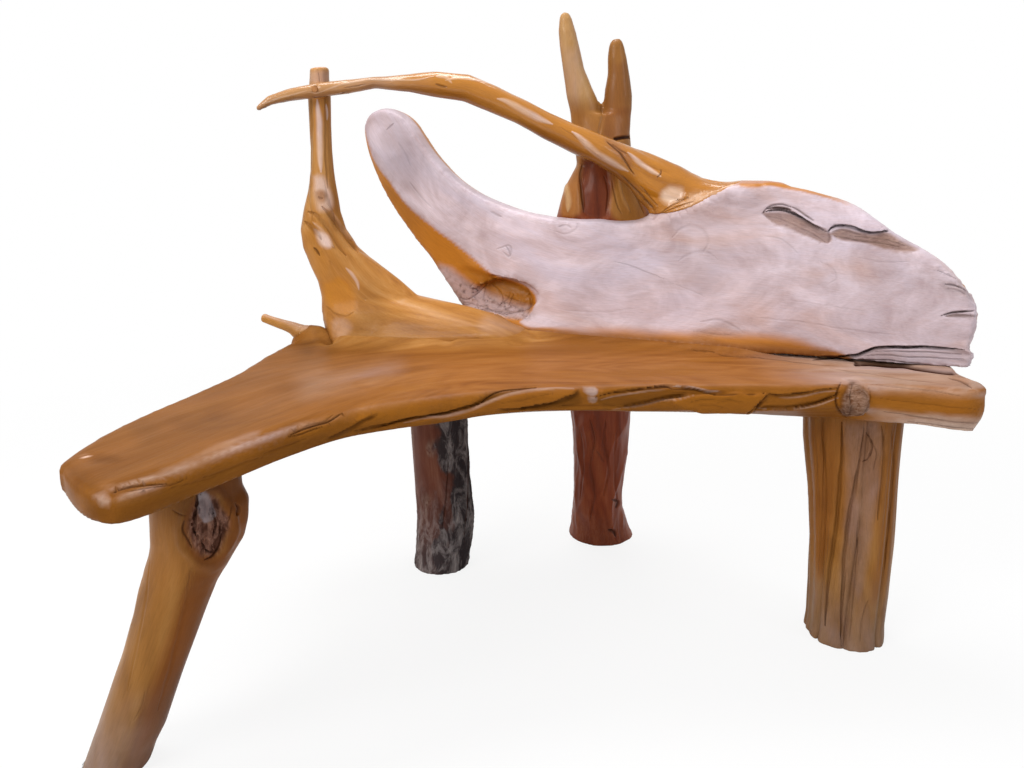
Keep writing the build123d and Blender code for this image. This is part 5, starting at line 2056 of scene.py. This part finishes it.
# ---------------------------------------------------------------- room
@dataclass
class Studio:
    """Pale floor, soft lights and the camera.

    Args:
        floor_size: Width of the floor.
        sky: How bright the air round the bench is.
        film: Width of the camera's film, in millimetres.
    """

    floor_size: float = 60.0
    sky: float = 0.52
    film: float = 36.0

    def lamp(self, name: str, place: Place, aim: Place, size: tuple[float, float],
             power: float, tint: Place = (1.0, 1.0, 1.0)) -> None:
        """Adds one soft lamp.

        Args:
            name: Its name.
            place: Where it hangs.
            aim: What it points at.
            size: Its width and height.
            power: Watts.
            tint: Its colour.
        """
        bpy.ops.object.light_add(type="AREA", location=place)
        lamp = bpy.context.object
        lamp.name = name
        lamp.data.shape = "RECTANGLE"
        lamp.data.size, lamp.data.size_y = size
        lamp.data.energy = power
        lamp.data.color = tint
        way = np.array(place) - np.array(aim)
        flat = math.hypot(way[0], way[1])
        lamp.rotation_euler = (math.atan2(flat, way[2]), 0.0, math.atan2(way[0], -way[1]))

    def lay_floor(self) -> None:
        """Lays a pale floor that fades to white away from the bench."""
        bpy.ops.object.select_all(action="DESELECT")
        bpy.ops.mesh.primitive_plane_add(size=self.floor_size, location=(0, 0, 0))
        floor = bpy.context.object
        floor.name = "studio_floor"
        kit = Bench("pale_floor")
        where = kit.put("ShaderNodeTexCoord").outputs["Object"]
        cloud = kit.noise(where, (1.2, 1.2, 1.2), 3)
        kit.feed("Base Color", kit.mix(cloud, (236, 236, 236), (242, 242, 242)))
        kit.feed("Roughness", 0.9)
        kit.feed("Specular IOR Level", 0.1)
        glow = kit.put("ShaderNodeEmission", {"Color": (1, 1, 1, 1), "Strength": 1.0})
        seen = kit.put("ShaderNodeLightPath")
        middle = kit.put("ShaderNodeVectorMath", {0: where}, operation="LENGTH").outputs["Value"]
        share = kit.times(seen.outputs["Is Camera Ray"], kit.span(middle, 0.7, 2.2, 0.86, 1.0))
        blend = kit.put("ShaderNodeMixShader",
                        {0: share, 1: kit.shader.outputs[0], 2: glow.outputs[0]})
        end = kit.tree.nodes["Material Output"]
        kit.tree.links.new(blend.outputs[0], end.inputs["Surface"])
        floor.data.materials.append(kit.material)

    def light_air(self) -> None:
        """Lights the bench softly from all round, before a white background."""
        world = bpy.data.worlds.new("studio_air")
        bpy.context.scene.world = world
        world.use_nodes = True
        tree = world.node_tree
        back = tree.nodes["Background"]
        path = add_node(tree, "ShaderNodeLightPath").outputs
        first = add_node(tree, "ShaderNodeMath",
                         {0: path["Is Camera Ray"], 1: path["Is Glossy Ray"]},
                         operation="MAXIMUM")
        second = add_node(tree, "ShaderNodeMath",
                          {0: first.outputs[0], 1: path["Is Transmission Ray"]},
                          operation="MAXIMUM")
        level = add_node(tree, "ShaderNodeMapRange",
                         {"To Min": self.sky, "To Max": 1.0, "Value": second.outputs[0]})
        tree.links.new(level.outputs[0], back.inputs["Strength"])
        back.inputs["Color"].default_value = (1.0, 1.0, 1.0, 1.0)

    def build(self) -> None:
        """Lays the floor, hangs the lamps and sets the camera."""
        self.lay_floor()
        self.light_air()
        self.lamp("window_left", (-2.2, -2.0, 2.4), (0, 0, 0.5), (1.6, 1.6), 66,
                  (1.0, 0.98, 0.95))
        self.lamp("window_right", (2.0, -1.4, 1.9), (0.1, 0.1, 0.6), (0.9, 1.4), 16,
                  (0.88, 0.92, 1.0))
        self.lamp("ceiling", (-0.3, 0.5, 2.8), (0, 0, 0.4), (1.5, 0.7), 42)
        bpy.ops.object.camera_add(location=STAND.place,
                                  rotation=(math.radians(90 - STAND.dip), 0.0, 0.0))
        camera = bpy.context.object
        camera.name = "front_camera"
        camera.data.sensor_width = self.film
        camera.data.lens = STAND.reach / (2 * STAND.middle[0]) * self.film
        camera.data.clip_start = 0.05
        bpy.context.scene.camera = camera
        bpy.context.scene.view_settings.view_transform = "Standard"


def pieces_of_wood() -> list[Carving]:
    """The carved pieces, in the order that they are made."""
    return [
        SeatLog("seat_log", "seat_wood", SEAT_FINISH, cell=0.0056, rounds=3,
            side=(0.0, 0.0, 1.0), seed=11, grooves=SEAT_GROOVES, folds=SEAT_FOLDS,
            patches=SEAT_PATCHES,
            spine="-500,-430,430 -440,-300,430 -385,-190,430 -310,-70,430 -200,20,430 -60,60,430 "
                  "120,60,430 320,30,430 580,-10,430"),
        BackrestSlab("backrest_slab", "back_wood", BACK_FINISH, cell=0.0048, rounds=3,
            side=(-0.345, -0.922, 0.174), seed=12, grooves=BACK_GROOVES, folds=BACK_FOLDS,
            patches=BACK_PATCHES,
            spine="590,30,520 400,75,540 215,135,555 45,210,560 -70,255,590 -165,300,640 "
                  "-240,340,710 -305,380,800"),
        RootPost("root_post", "post_wood", POST_FINISH, cell=0.0036, rounds=7,
            side=(0.0, 1.0, 0.0), seed=13, grooves=POST_GROOVES, patches=POST_PATCHES,
            spine="-150,205,455 -220,212,480 -290,224,515 -335,232,565 -366,233,640 -366,233,740 "
                  "-360,233,880"),
        StubPeg("side_peg", "post_wood", POST_FINISH, cell=0.0014, rounds=3, seed=14,
            spine="-396,184,457 -470,187,484"),
        ArchBranch("arch_branch", "arch_wood", ARCH_FINISH, cell=0.0030, rounds=16,
            side=(0.0, 1.0, 0.0), seed=15, grooves=ARCH_GROOVES, patches=ARCH_PATCHES,
            spine="-451,194,807 -401,200,829 -317,208,841 -217,206,846 -130,205,839 -46,203,804 "
                  "34,203,766 112,213,732 165,208,701 216,192,684 275,170,683 342,146,690"),
        FrontLeftLeg("front_left_leg", "leg_wood", LEG_FINISH, cell=0.0030, rounds=12, seed=16,
            grooves=LEG_LEFT_GROOVES, patches=LEG_LEFT_PATCHES,
            spine="-566,-252,0 -512,-252,109 -465,-252,218 -427,-252,312 -405,-252,430"),
        FrontRightLeg("front_right_leg", "leg_wood", LEG_FINISH, cell=0.0032, rounds=8, seed=17,
            grooves=LEG_RIGHT_GROOVES, patches=LEG_RIGHT_PATCHES,
            spine="478,28,0 470,28,164 451,28,330 445,28,430"),
        RearLeftLeg("rear_left_leg", "bark_wood", BARK_FINISH, cell=0.0030, rounds=8, seed=18,
            grooves=LEG_REAR_GROOVES,
            spine="-194,257,0 -186,257,100 -190,257,250 -191,257,430"),
        RearTrunk("rear_trunk", "trunk_wood", TRUNK_FINISH, cell=0.0036, rounds=8, seed=19,
            grooves=TRUNK_GROOVES, patches=TRUNK_PATCHES,
            spine="115,360,0 109,335,120 105,310,330 101,296,560 92,296,740 80,296,830 75,296,960"),
    ]


def main() -> None:
    """Makes the bench piece by piece, then the room round it."""
    logging.basicConfig(level=logging.INFO, format="%(message)s")
    pieces = {piece.node: piece for piece in pieces_of_wood()}
    for piece in pieces.values():
        piece.rough_out()
    ready_joints(pieces)
    for piece in pieces.values():
        piece.work()
    grow_together(pieces)
    for piece in pieces.values():
        piece.dress()
    Joinery().dress()
    Studio().build()


if __name__ == "__main__":
    main()
